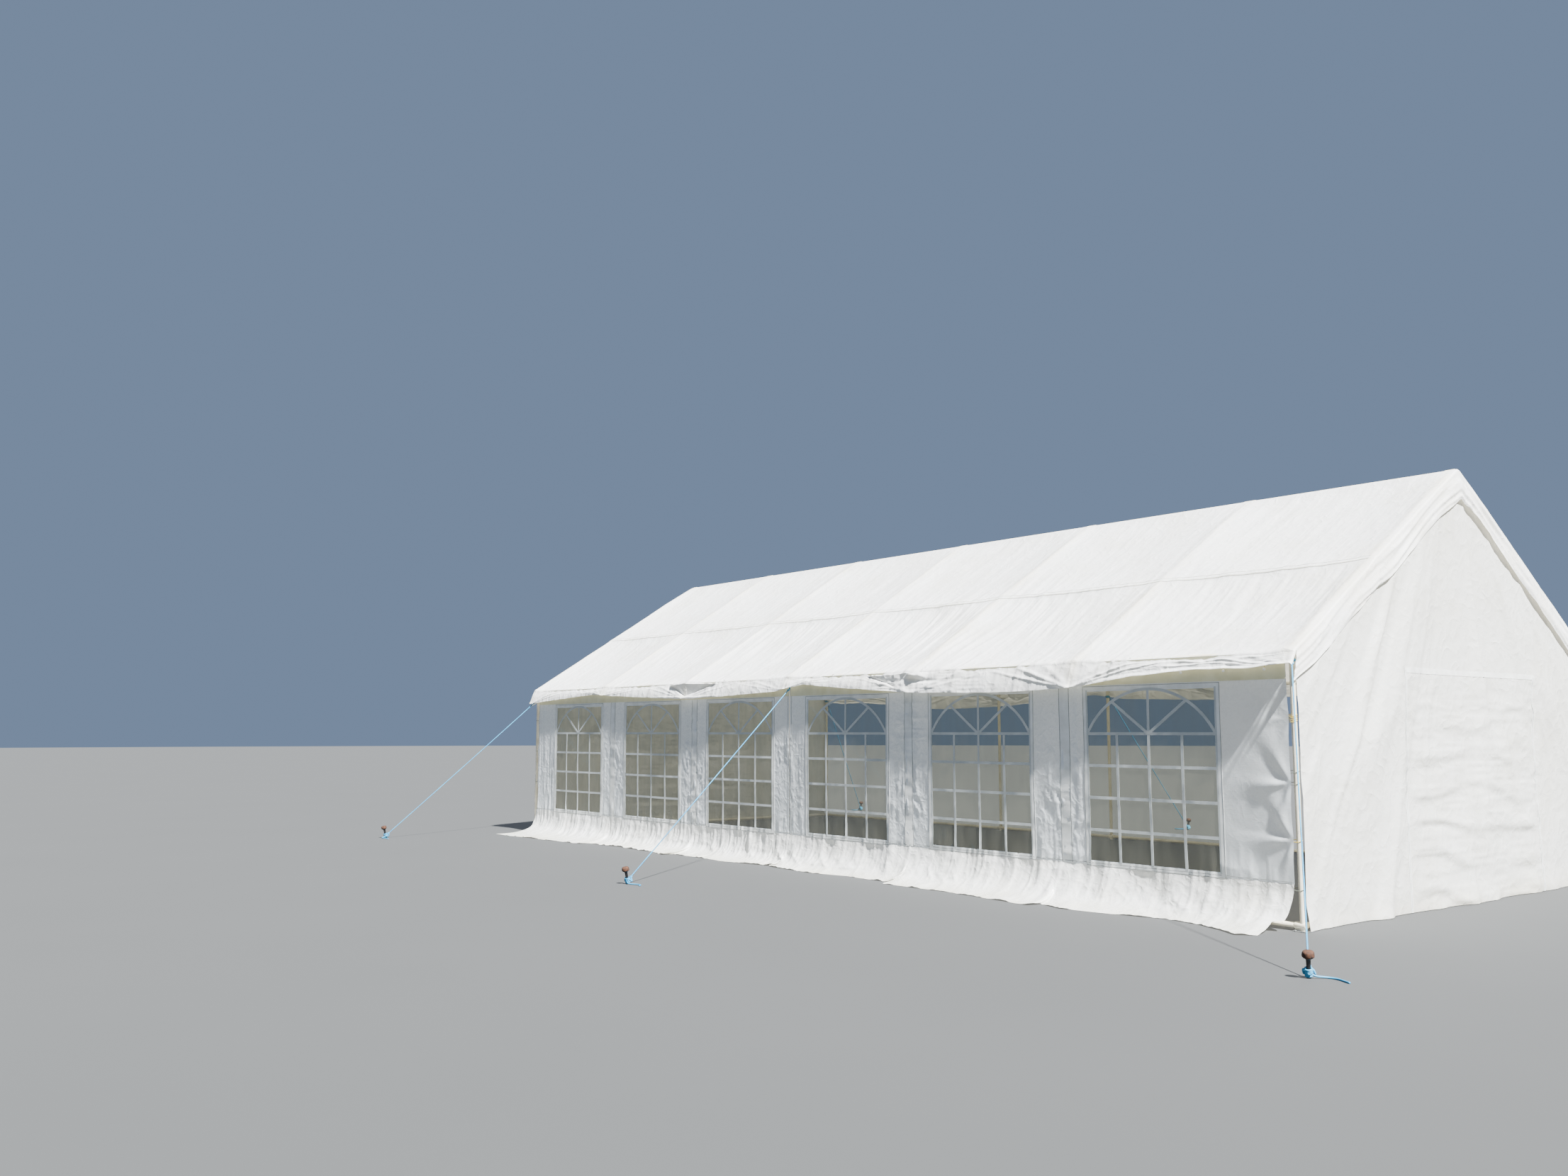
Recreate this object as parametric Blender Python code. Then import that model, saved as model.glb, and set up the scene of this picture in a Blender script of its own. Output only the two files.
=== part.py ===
"""A white marquee tent of six bays, standing on level ground.

Metres, +Z up. The length runs along X, the windowed front faces -Y, and the
origin lies on the ground under the middle of the ridge. Seven portal frames of
steel tube carry ridge, purlins and rails, which pass through sleeves on the
frames. The cover, the walls and the gables are cloth, drawn here as thin
closed sheets that stand clear of the frame by the fitting gap.
"""

from math import atan2, cos, hypot, pi, radians, sin, tan

import bmesh
import bpy
from mathutils import Vector

# Frame: tubes, and the connectors that hold them
BAY_LENGTH = 2.0
BAYS = 6
LEG_SPAN = 5.53
ELBOW_HEIGHT = 2.034
RIDGE_HEIGHT = 3.747
PURLIN_SHARE = 0.45
TUBE_RADIUS = 0.021
COLLAR_WALL = 0.004
COLLAR_REACH = 0.045
SLEEVE_WALL = 0.0055
SLEEVE_REACH = 0.060
TUBE_SIDES = 8
GROUND_BAR_HEIGHT = 0.040
PLATE_SIDE = 0.120
PLATE_THICKNESS = 0.005
TUBE_SETBACK = 0.004
WELD = 0.002

# Cloth: the roof cover and the valances that hang from it
CLOTH = 0.008
EAVE_REACH = 0.039
GABLE_OVERHANG = 0.050
RAKE_DROP = 0.250
VALANCE_SLANT = 0.25
VALANCE_DROPS = (
    0.200, 0.140, 0.115, 0.170, 0.215, 0.185, 0.145,
    0.155, 0.228, 0.257, 0.235, 0.140, 0.104,
)

# Cloth: the front wall with its windows, and the skirt below it
WALL_RISE = 0.006
WALL_FOOT = 0.335
WALL_LEFT_GAP = 0.070
WALL_RIGHT_GAP = 0.065
WALL_JOINT = 0.030
WINDOWS_A_SHEET = 3
WINDOW_PITCH = 1.890
WINDOW_SHIFT = 0.010
WINDOW_WIDTH = 1.270
WINDOW_HEIGHT = 1.440
WINDOW_SILL = 0.360
PANE = 0.004
SKIRT_SPREAD = 0.420
SKIRT_LEFT_SPLAY = 0.090
SKIRT_RIGHT_SPLAY = -0.070

# Cloth: the closed gables with their zipped doors
GABLE_EDGE = 0.030
DOOR_WIDTH = 2.400
DOOR_HEIGHT = 1.950

# Guy ropes and pegs: name, leg, peg's place from the leg's foot, drop of the tie below the elbow
GUYS = (
    ("left", 0, (-0.320, -2.105), 0.134),
    ("middle", BAYS // 2, (0.405, -2.320), 0.106),
    ("right", BAYS, (0.990, -1.645), 0.059),
)
ROPE_RADIUS = 0.006
ROPE_SIDES = 8
LOOP_WALL = 0.005
LOOP_HEIGHT = 0.012
PEG_LOOP_HEIGHT = 0.045
PEG_RADIUS = 0.0135
PEG_HEIGHT = 0.170
PEG_HEAD_RADIUS = 0.036
PEG_HEAD_HEIGHT = 0.045
PEG_CHAMFER = 0.010
PEG_LEAN = radians(14)

# Touching pieces keep this gap
FIT = 0.0003

HALF_LENGTH = BAY_LENGTH * BAYS / 2
HALF_SPAN = LEG_SPAN / 2
SLOPE = atan2(RIDGE_HEIGHT - ELBOW_HEIGHT, HALF_SPAN)
EAVE_Y = HALF_SPAN + EAVE_REACH
COLLAR_RADIUS = TUBE_RADIUS + COLLAR_WALL
SLEEVE_RADIUS = TUBE_RADIUS + SLEEVE_WALL
SLEEVE_CLEAR = SLEEVE_RADIUS + FIT
ROOF_CLEAR = FIT + SLEEVE_RADIUS * max(
    cos(2 * pi * k / TUBE_SIDES - pi / 2 - SLOPE) for k in range(TUBE_SIDES)
)
WALL_INNER = HALF_SPAN + SLEEVE_CLEAR
WALL_OUTER = WALL_INNER + CLOTH
WALL_TOP = ELBOW_HEIGHT + WALL_RISE

STEEL = ((0.80, 0.79, 0.74), 0.45, 0.6)
CLOTH_WHITE = ((0.90, 0.91, 0.93), 0.55, 0.0)
CLOTH_SHADE = ((0.80, 0.83, 0.86), 0.55, 0.0)
FILM = ((0.62, 0.68, 0.66), 0.12, 0.0)
ROPE_BLUE = ((0.20, 0.47, 0.62), 0.70, 0.0)
IRON = ((0.24, 0.13, 0.09), 0.85, 0.4)


def material(name, finish):
    """A Principled material of one colour, roughness and metallic value."""
    colour, roughness, metallic = finish
    made = bpy.data.materials.new(name)
    made.use_nodes = True
    shader = made.node_tree.nodes["Principled BSDF"]
    shader.inputs["Base Color"].default_value = (*colour, 1.0)
    shader.inputs["Roughness"].default_value = roughness
    shader.inputs["Metallic"].default_value = metallic
    return made


def solid(name, points, faces, finish=None):
    """A closed mesh as an object of its own, with its faces turned outwards."""
    mesh = bpy.data.meshes.new(name)
    mesh.from_pydata([tuple(p) for p in points], [], faces)
    shape = bmesh.new()
    shape.from_mesh(mesh)
    bmesh.ops.recalc_face_normals(shape, faces=shape.faces)
    shape.to_mesh(mesh)
    shape.free()
    made = bpy.data.objects.new(name, mesh)
    bpy.context.scene.collection.objects.link(made)
    if finish:
        mesh.materials.append(material(name, finish))
    return made


def rings_solid(name, rings, finish=None):
    """A solid through rings of points, each ring with as many points, with flat ends."""
    sides = len(rings[0])
    points = [point for ring in rings for point in ring]
    faces = [tuple(range(sides)), tuple(range(len(points) - sides, len(points)))]
    for start in range(0, len(points) - sides, sides):
        for k in range(sides):
            after = (k + 1) % sides
            faces.append((start + k, start + after, start + sides + after, start + sides + k))
    return solid(name, points, faces, finish)


def circle(sides):
    """The cosine and sine of each corner of a regular polygon."""
    return [(cos(2 * pi * k / sides), sin(2 * pi * k / sides)) for k in range(sides)]


def tube_along_x(name, radius, y, z, low, high, finish=None):
    """A round bar along X at the given y and z."""
    rings = [
        [(x, y + radius * a, z + radius * b) for a, b in circle(TUBE_SIDES)]
        for x in (low, high)
    ]
    return rings_solid(name, rings, finish)


def bent_tube(name, radius, path, x=0.0):
    """A round bar along a path of (y, z) points at one x, mitred where the path bends."""
    rings = []
    for i, (y, z) in enumerate(path):
        before = Vector(path[i]) - Vector(path[i - 1]) if i else None
        after = Vector(path[i + 1]) - Vector(path[i]) if i + 1 < len(path) else None
        into = (before or after).normalized()
        out = (after or before).normalized()
        middle = (into + out).normalized()
        across = Vector((-middle.y, middle.x)) / middle.dot(into)
        rings.append([
            (x + radius * a, y + radius * b * across.x, z + radius * b * across.y)
            for a, b in circle(TUBE_SIDES)
        ])
    return rings_solid(name, rings)


def straight_bar(name, radius, start, end, sides):
    """A round bar between two points."""
    turn = (end - start).to_track_quat("Z", "Y")
    rings = [
        [point + turn @ Vector((radius * a, radius * b, 0)) for a, b in circle(sides)]
        for point in (start, end)
    ]
    return rings_solid(name, rings)


def block(name, low, high, finish=None):
    """A box between two corners."""
    outline = [(low[0], low[1]), (high[0], low[1]), (high[0], high[1]), (low[0], high[1])]
    rings = [[(x, y, z) for x, y in outline] for z in (low[2], high[2])]
    return rings_solid(name, rings, finish)


def sheet_along_x(name, outline, low, high, finish):
    """A (y, z) outline drawn out along X."""
    return rings_solid(name, [[(x, y, z) for y, z in outline] for x in (low, high)], finish)


def settle(target, operands):
    """Makes the modifiers' result the target's own mesh and removes the operands."""
    depsgraph = bpy.context.evaluated_depsgraph_get()
    mesh = bpy.data.meshes.new_from_object(target.evaluated_get(depsgraph))
    target.modifiers.clear()
    target.data = mesh
    for operand in operands:
        bpy.data.objects.remove(operand)


def combine(target, operands, operation):
    """Fuses solids onto the target, or cuts them out of it, in one Boolean."""
    group = bpy.data.collections.new(target.name + "_operands")
    for operand in operands:
        group.objects.link(operand)
    boolean = target.modifiers.new(operation.lower(), "BOOLEAN")
    boolean.operation = operation
    boolean.solver = "EXACT"
    boolean.operand_type = "COLLECTION"
    boolean.collection = group
    settle(target, operands)
    bpy.data.collections.remove(group)
    return target


def turned_about_origin(source, name, finish):
    """A copy of a solid, turned half a turn about the vertical through the origin."""
    points = [(-v.co.x, -v.co.y, v.co.z) for v in source.data.vertices]
    faces = [tuple(face.vertices) for face in source.data.polygons]
    return solid(name, points, faces, finish)


def frame_height(y):
    """The height of a rafter's centre line at a distance y from the ridge."""
    return RIDGE_HEIGHT - abs(y) * tan(SLOPE)


def cover_height(y, above_frame):
    """The height of a surface that lies parallel to the rafters, this far above their centre lines."""
    return frame_height(y) + above_frame / cos(SLOPE)


def purlin_places():
    """The (y, z) of every tube that runs the length of the roof."""
    purlin_y = HALF_SPAN * (1 - PURLIN_SHARE)
    return {
        "front_eave_rail": (-HALF_SPAN, ELBOW_HEIGHT),
        "front_mid_purlin": (-purlin_y, frame_height(purlin_y)),
        "ridge_tube": (0.0, RIDGE_HEIGHT),
        "rear_mid_purlin": (purlin_y, frame_height(purlin_y)),
        "rear_eave_rail": (HALF_SPAN, ELBOW_HEIGHT),
    }


def ground_bar_places():
    """The (y, z) of the two bars that tie the feet together along the length."""
    return {
        "front_ground_bar": (-HALF_SPAN, GROUND_BAR_HEIGHT),
        "rear_ground_bar": (HALF_SPAN, GROUND_BAR_HEIGHT),
    }


def along_rafter(y, z, side, distance):
    """A point at a distance down the slope, on the given side of the ridge."""
    return (y + side * distance * cos(SLOPE), z - distance * sin(SLOPE))


def portal_frame(index):
    """Two legs and two rafters with their connectors, base plates and sleeves."""
    x = -HALF_LENGTH + index * BAY_LENGTH
    is_left_end, is_right_end = index == 0, index == BAYS
    foot = PLATE_THICKNESS - WELD
    elbow, ridge = (HALF_SPAN, ELBOW_HEIGHT), (0.0, RIDGE_HEIGHT)
    path = [(-HALF_SPAN, foot), (-HALF_SPAN, ELBOW_HEIGHT), ridge, elbow, (HALF_SPAN, foot)]
    frame = bent_tube(f"portal_frame_{index + 1}", TUBE_RADIUS, path, x)

    fittings = [bent_tube("ridge_collar", COLLAR_RADIUS, [
        along_rafter(*ridge, -1, COLLAR_REACH), ridge, along_rafter(*ridge, 1, COLLAR_REACH),
    ], x)]
    for side in (-1, 1):
        corner = (side * HALF_SPAN, ELBOW_HEIGHT)
        below = (corner[0], corner[1] - COLLAR_REACH)
        fittings.append(bent_tube("elbow_collar", COLLAR_RADIUS, [
            below, corner, along_rafter(*corner, side, -COLLAR_REACH),
        ], x))
        fittings.append(block(
            "base_plate",
            (x - PLATE_SIDE / 2, corner[0] - PLATE_SIDE / 2, 0),
            (x + PLATE_SIDE / 2, corner[0] + PLATE_SIDE / 2, PLATE_THICKNESS),
        ))
    for place, (y, z) in purlin_places().items():
        if "mid" in place:
            side = 1 if y > 0 else -1
            fittings.append(bent_tube("mid_collar", COLLAR_RADIUS, [
                along_rafter(y, z, side, -COLLAR_REACH), along_rafter(y, z, side, COLLAR_REACH),
            ], x))
    low = x - (SLEEVE_RADIUS if is_left_end else SLEEVE_REACH)
    high = x + (SLEEVE_RADIUS if is_right_end else SLEEVE_REACH)
    places = [*purlin_places().values(), *ground_bar_places().values()]
    fittings += [tube_along_x("sleeve", SLEEVE_RADIUS, y, z, low, high) for y, z in places]
    if is_left_end or is_right_end:
        ends = [(-HALF_SPAN, GROUND_BAR_HEIGHT), (HALF_SPAN, GROUND_BAR_HEIGHT)]
        fittings.append(bent_tube("gable_ground_bar", TUBE_RADIUS, ends, x))
    combine(frame, fittings, "UNION")

    bores = [
        tube_along_x("bore", TUBE_RADIUS + FIT / cos(pi / TUBE_SIDES), y, z,
                     x - 2 * SLEEVE_REACH, x + 2 * SLEEVE_REACH)
        for y, z in places
    ]
    combine(frame, bores, "DIFFERENCE")
    frame.data.materials.clear()
    frame.data.materials.append(material(frame.name, STEEL))
    return frame


def long_tubes():
    """Ridge, purlins, eave rails and ground bars, each as one bar through its sleeves."""
    end = HALF_LENGTH + SLEEVE_RADIUS - TUBE_SETBACK
    for name, (y, z) in {**purlin_places(), **ground_bar_places()}.items():
        tube_along_x(name, TUBE_RADIUS, y, z, -end, end, STEEL)


def roof_cover():
    """The two slopes of the cover, meeting over the ridge."""
    end = HALF_LENGTH + GABLE_OVERHANG
    for name, side in (("roof_front", -1), ("roof_rear", 1)):
        outline = [
            (side * y, cover_height(y, above))
            for y, above in (
                (FIT / 2, ROOF_CLEAR),
                (EAVE_Y, ROOF_CLEAR),
                (EAVE_Y, ROOF_CLEAR + CLOTH),
                (FIT / 2, ROOF_CLEAR + CLOTH),
            )
        ]
        sheet_along_x(name, outline, -end, end, CLOTH_WHITE)


def eave_valances():
    """The strips that hang from the eaves, slanting out, with a lower edge that rises and falls."""
    top = cover_height(EAVE_Y, ROOF_CLEAR + CLOTH)
    end = HALF_LENGTH + GABLE_OVERHANG
    stations = len(VALANCE_DROPS) - 1
    rings = []
    for i, drop in enumerate(VALANCE_DROPS):
        x = end * (2 * i / stations - 1)
        inner = -(EAVE_Y + FIT)
        slant = VALANCE_SLANT * drop
        rings.append([
            (x, inner, top),
            (x, inner - slant, top - drop),
            (x, inner - slant - CLOTH, top - drop),
            (x, inner - CLOTH, top),
        ])
    front = rings_solid("front_valance", rings, CLOTH_WHITE)
    turned_about_origin(front, "rear_valance", CLOTH_WHITE)


def gable_valances():
    """The bands that hang along the sloping edges of the cover at each gable."""
    top = [(y, cover_height(y, ROOF_CLEAR + CLOTH)) for y in (-EAVE_Y, 0, EAVE_Y)]
    outline = top + [(y, z - RAKE_DROP) for y, z in reversed(top)]
    start = HALF_LENGTH + GABLE_OVERHANG + FIT
    sheet_along_x("left_gable_valance", outline, -start - CLOTH, -start, CLOTH_WHITE)
    sheet_along_x("right_gable_valance", outline, start, start + CLOTH, CLOTH_WHITE)


def window_centre(index):
    """The middle of a window of the front wall, counted from the left."""
    return WINDOW_SHIFT + WINDOW_PITCH * (index + 0.5 - WINDOWS_A_SHEET)


def front_wall():
    """Two sheets with their windows cut through, and the clear panes that fill these."""
    left = -HALF_LENGTH + WALL_LEFT_GAP
    right = HALF_LENGTH - WALL_RIGHT_GAP
    joint_low, joint_high = WINDOW_SHIFT - WALL_JOINT / 2, WINDOW_SHIFT + WALL_JOINT / 2
    half_width, top = WINDOW_WIDTH / 2, WINDOW_SILL + WINDOW_HEIGHT
    sheets = (("front_wall_left", left, joint_low, 0), ("front_wall_right", joint_high, right, 1))
    for name, low, high, number in sheets:
        wall = block(name, (low, -WALL_OUTER, WALL_FOOT), (high, -WALL_INNER, WALL_TOP), CLOTH_SHADE)
        holes = []
        for index in range(number * WINDOWS_A_SHEET, (number + 1) * WINDOWS_A_SHEET):
            x = window_centre(index)
            holes.append(block(
                "hole",
                (x - half_width, -WALL_OUTER - CLOTH, WINDOW_SILL),
                (x + half_width, -WALL_INNER + CLOTH, top),
            ))
            middle = (WALL_INNER + WALL_OUTER) / 2
            block(
                f"window_pane_{index + 1}",
                (x - half_width + FIT, -middle - PANE / 2, WINDOW_SILL + FIT),
                (x + half_width - FIT, -middle + PANE / 2, top - FIT),
                FILM,
            )
        combine(wall, holes, "DIFFERENCE")


def front_skirt():
    """The flap below the wall, which slants out to the ground and lies on it."""
    top = WALL_FOOT - FIT
    foot_outer = WALL_OUTER + SKIRT_SPREAD
    foot_inner = foot_outer - CLOTH * hypot(top, SKIRT_SPREAD) / top
    left, right = -HALF_LENGTH + WALL_LEFT_GAP, HALF_LENGTH - WALL_RIGHT_GAP
    rings = [
        [
            (x, -WALL_INNER, top),
            (x, -WALL_OUTER, top),
            (x + splay, -foot_outer, 0),
            (x + splay, -foot_inner, 0),
        ]
        for x, splay in ((left, -SKIRT_LEFT_SPLAY), (right, SKIRT_RIGHT_SPLAY))
    ]
    rings_solid("front_skirt", rings, CLOTH_WHITE)


def gables():
    """The closed cloth at each end, with a doorway cut through and the zipped door that fills it."""
    edge, half_door = HALF_SPAN - GABLE_EDGE, DOOR_WIDTH / 2
    plate_edge = HALF_SPAN - PLATE_SIDE / 2 - FIT
    plate_top = PLATE_THICKNESS + FIT
    front_half = [
        (-half_door, DOOR_HEIGHT), (-half_door, 0), (-plate_edge, 0), (-plate_edge, plate_top),
        (-edge, plate_top), (-edge, frame_height(edge)),
    ]
    rear_half = [(-y, z) for y, z in reversed(front_half)]
    wall_outline = [*front_half, (0, RIDGE_HEIGHT), *rear_half]
    door_y, door_top = half_door - FIT, DOOR_HEIGHT - FIT
    door_outline = [(-door_y, 0), (-door_y, door_top), (door_y, door_top), (door_y, 0)]
    inner = HALF_LENGTH + SLEEVE_CLEAR
    for name, low in (("left", -inner - CLOTH), ("right", inner)):
        sheet_along_x(f"{name}_gable_wall", wall_outline, low, low + CLOTH, CLOTH_SHADE)
        sheet_along_x(f"{name}_gable_door", door_outline, low, low + CLOTH, CLOTH_SHADE)


def leaning_rings(foot, lean, profile):
    """Level rings of a turned shape whose middle moves along lean as it rises."""
    return [
        [
            (foot.x + lean.x * z + radius * a, foot.y + lean.y * z + radius * b, z)
            for a, b in circle(TUBE_SIDES)
        ]
        for radius, z in profile
    ]


def loop(name, radius, foot, lean, height):
    """A turn of rope as a ring that fits round a post of the given radius."""
    low, high = height - LOOP_HEIGHT / 2, height + LOOP_HEIGHT / 2
    bore = radius + FIT / cos(pi / TUBE_SIDES)
    ring = rings_solid(name, leaning_rings(foot, lean, [(bore + LOOP_WALL, low), (bore + LOOP_WALL, high)]))
    core = rings_solid("core", leaning_rings(foot, lean, [(bore, low - LOOP_WALL), (bore, high + LOOP_WALL)]))
    return combine(ring, [core], "DIFFERENCE")


def guy_and_peg(name, leg, offset, tie_drop):
    """A rope from a loop on a leg down to a loop on its peg, and the peg, at the front and the rear."""
    tie_height = ELBOW_HEIGHT - tie_drop
    leg_foot = Vector((-HALF_LENGTH + leg * BAY_LENGTH, -HALF_SPAN, 0))
    peg_foot = leg_foot + Vector((*offset, 0))
    away = (peg_foot - leg_foot).normalized()
    lean = away * tan(PEG_LEAN)
    tie = leg_foot + Vector((0, 0, tie_height))
    hold = peg_foot + lean * PEG_LOOP_HEIGHT + Vector((0, 0, PEG_LOOP_HEIGHT))
    steepness = (tie - hold).normalized().z
    inset = ROPE_RADIUS * steepness + 2 * FIT
    start = tie + away * (TUBE_RADIUS + inset)
    end = hold - away * (PEG_RADIUS + inset)
    rope = straight_bar(f"front_guy_{name}", ROPE_RADIUS, start, end, ROPE_SIDES)
    loops = [
        loop("tie_loop", TUBE_RADIUS, leg_foot, Vector((0, 0, 0)), tie_height),
        loop("peg_loop", PEG_RADIUS, peg_foot, lean, PEG_LOOP_HEIGHT),
    ]
    combine(rope, loops, "UNION")
    rope.data.materials.clear()
    rope.data.materials.append(material(rope.name, ROPE_BLUE))
    neck = PEG_HEIGHT - PEG_HEAD_HEIGHT
    profile = [
        (PEG_RADIUS, 0),
        (PEG_RADIUS, neck),
        (PEG_HEAD_RADIUS, neck + PEG_CHAMFER),
        (PEG_HEAD_RADIUS, PEG_HEIGHT - PEG_CHAMFER),
        (PEG_HEAD_RADIUS - PEG_CHAMFER, PEG_HEIGHT),
    ]
    peg = rings_solid(f"front_peg_{name}", leaning_rings(peg_foot, lean, profile), IRON)
    turned_about_origin(rope, f"rear_guy_{name}", ROPE_BLUE)
    turned_about_origin(peg, f"rear_peg_{name}", IRON)


def main():
    for old in list(bpy.data.objects):
        bpy.data.objects.remove(old)
    for index in range(BAYS + 1):
        portal_frame(index)
    long_tubes()
    roof_cover()
    eave_valances()
    gable_valances()
    front_wall()
    front_skirt()
    gables()
    for guy in GUYS:
        guy_and_peg(*guy)


main()
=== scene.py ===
"""Marquee tent: the finished surfaces of a frame tent with a pitched cover, one windowed wall, two
closed gables, guy ropes and pegs.

Lengths are metres. X runs along the tent, Y from the windowed front to the open rear, Z up from the
ground. Every new piece is a surface worked out on arrays and stands for the solid of the same place.
"""

import logging
import math
from dataclasses import dataclass
from enum import Enum

import bpy
import numpy as np
from mathutils import Euler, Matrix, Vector


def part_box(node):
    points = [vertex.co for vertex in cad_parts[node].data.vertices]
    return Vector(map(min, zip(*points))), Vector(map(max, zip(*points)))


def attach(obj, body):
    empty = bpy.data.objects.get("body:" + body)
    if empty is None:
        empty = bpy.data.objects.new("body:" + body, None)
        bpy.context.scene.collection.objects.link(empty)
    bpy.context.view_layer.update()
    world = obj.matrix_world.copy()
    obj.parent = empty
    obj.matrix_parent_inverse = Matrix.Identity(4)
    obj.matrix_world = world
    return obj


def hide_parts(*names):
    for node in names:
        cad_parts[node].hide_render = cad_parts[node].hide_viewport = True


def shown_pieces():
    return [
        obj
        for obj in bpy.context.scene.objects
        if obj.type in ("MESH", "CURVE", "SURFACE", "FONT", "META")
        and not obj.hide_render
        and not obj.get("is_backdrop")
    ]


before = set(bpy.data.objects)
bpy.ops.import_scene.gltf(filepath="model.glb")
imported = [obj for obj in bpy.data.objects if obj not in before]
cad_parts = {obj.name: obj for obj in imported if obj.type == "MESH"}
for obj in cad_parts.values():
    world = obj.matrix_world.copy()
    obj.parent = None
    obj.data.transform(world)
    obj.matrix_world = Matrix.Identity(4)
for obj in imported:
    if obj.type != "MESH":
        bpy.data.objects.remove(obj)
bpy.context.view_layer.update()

LOG = logging.getLogger("marquee")
BODY = "root"
CUT_MAP = "cut"
WELD_STEPS = 1e5  # points are welded where they agree to this many steps a metre

Array = np.ndarray
Piece = bpy.types.Object
Tree = bpy.types.NodeTree
Socket = bpy.types.NodeSocket
X_AXIS = np.array((1.0, 0.0, 0.0))
Y_AXIS = np.array((0.0, 1.0, 0.0))
Z_AXIS = np.array((0.0, 0.0, 1.0))


class Side(Enum):
    """The two long sides of the tent; the rear is the front turned half round about Z."""

    FRONT = 1
    REAR = -1


class End(Enum):
    """The two gable ends; the value is the sign of their X."""

    LEFT = -1
    RIGHT = 1


# Curves and noise on arrays


def ease(low: float, high: float, value: Array) -> Array:
    """A smooth step: 3t² - 2t³ with t from 0 at low to 1 at high.

    Args:
        low: Where the step starts.
        high: Where it ends; it may be under low for a falling step.
        value: The places to work it out at.

    Returns:
        The step at every place, from 0 to 1.
    """
    t = np.clip((value - low) / (high - low), 0.0, 1.0)
    return t * t * (3.0 - 2.0 * t)


def hump(value: Array, centre: float, width: float) -> Array:
    """A bell curve, e to the minus square of the distance over the width."""
    return np.exp(-(((value - centre) / width) ** 2))


def lattice_noise(u: Array, v: Array, seed: int) -> Array:
    """Random values at whole numbers of (u, v), blended by 6t⁵ - 15t⁴ + 10t³ in between.

    Args:
        u: First coordinate, one unit per lattice cell.
        v: Second coordinate.
        seed: Which table of random values is used.

    Returns:
        Values from -1 to 1.
    """
    size = 256
    table = np.random.default_rng(seed).uniform(-1.0, 1.0, (size, size))
    column, row = np.floor(u).astype(int), np.floor(v).astype(int)
    s, t = u - column, v - row
    s, t = s**3 * (s * (s * 6 - 15) + 10), t**3 * (t * (t * 6 - 15) + 10)
    left, right = column % size, (column + 1) % size
    low, high = row % size, (row + 1) % size
    bottom = table[left, low] * (1 - s) + table[right, low] * s
    top = table[left, high] * (1 - s) + table[right, high] * s
    return bottom * (1 - t) + top * t


def soft_noise(u: Array, v: Array, seed: int, layers: int = 3, gain: float = 0.5) -> Array:
    """Lattice noise in layers, each twice as fine and gain times as high as the one before."""
    return sum(
        gain**k * lattice_noise(u * 2**k + 17 * k, v * 2**k - 9 * k, seed + k) for k in range(layers)
    )


def creases(u: Array, v: Array, seed: int, layers: int = 3, gain: float = 0.5) -> Array:
    """Sharp ridges between soft hollows, as in creased sheeting: 1 - 2.4|noise| in each layer."""
    return sum(
        gain**k * (1 - 2.4 * np.abs(lattice_noise(u * 2**k + 5 * k, v * 2**k + 31 * k, seed + k)))
        for k in range(layers)
    )


def spaced(stops: list[float], pitch: float) -> Array:
    """Places from the first stop to the last that hit every stop, no more than pitch apart."""
    runs = [
        np.linspace(a, b, max(2, math.ceil((b - a) / pitch) + 1))[:-1]
        for a, b in zip(stops[:-1], stops[1:])
    ]
    return np.concatenate([*runs, [stops[-1]]])


def unit(vectors: Array) -> Array:
    """The same directions with lengths of one."""
    return vectors / np.linalg.norm(vectors, axis=-1, keepdims=True)


def lengths(path: Array) -> Array:
    """How far along a path each of its points lies."""
    return np.concatenate([[0.0], np.cumsum(np.linalg.norm(np.diff(path, axis=0), axis=1))])


def left_of(line: Array) -> Array:
    """At each point of a flat line, the unit direction to its left."""
    ahead = unit(np.gradient(line, axis=0))
    return np.stack([-ahead[:, 1], ahead[:, 0]], axis=1)


def resampled(path: Array, pitch: float) -> Array:
    """The same open path with points at equal steps of about pitch along its length."""
    along = lengths(path)
    places = np.linspace(0.0, along[-1], max(3, round(along[-1] / pitch) + 1))
    return np.stack([np.interp(places, along, path[:, k]) for k in range(path.shape[1])], axis=1)


def rounded(corners: list[tuple], radius: float, steps: int = 8) -> Array:
    """A polyline whose inner corners are arcs of the given radius.

    Args:
        corners: The corner points, in two or three dimensions.
        radius: Radius of every bend.
        steps: Points on each bend.

    Returns:
        The points of the path, ends included.
    """
    points = [np.array(c, float) for c in corners]
    path = [points[0]]
    for before, at, after in zip(points[:-2], points[1:-1], points[2:]):
        d1, d2 = unit(at - before), unit(after - at)
        turn = math.acos(np.clip(d1 @ d2, -1, 1))
        reach = radius * math.tan(turn / 2)
        middle = at + unit(d2 - d1) * radius / math.cos(turn / 2)
        start, end = at - d1 * reach - middle, at + d2 * reach - middle
        for t in np.linspace(0, 1, steps):
            mixed = math.sin((1 - t) * turn) * start + math.sin(t * turn) * end
            path.append(middle + mixed / math.sin(turn))
    return np.array([*path, points[-1]])


# Surfaces


@dataclass
class Surface:
    """Points, four-cornered faces and a flat place (u, v) for each point, in metres on cloth."""

    points: Array
    quads: Array
    flat: Array

    def on(self, side: Side) -> "Surface":
        """The surface as made for the front, or turned half round about Z for the rear."""
        if side is Side.FRONT:
            return self
        return Surface(self.points * (-1.0, -1.0, 1.0), self.quads, self.flat)


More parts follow.
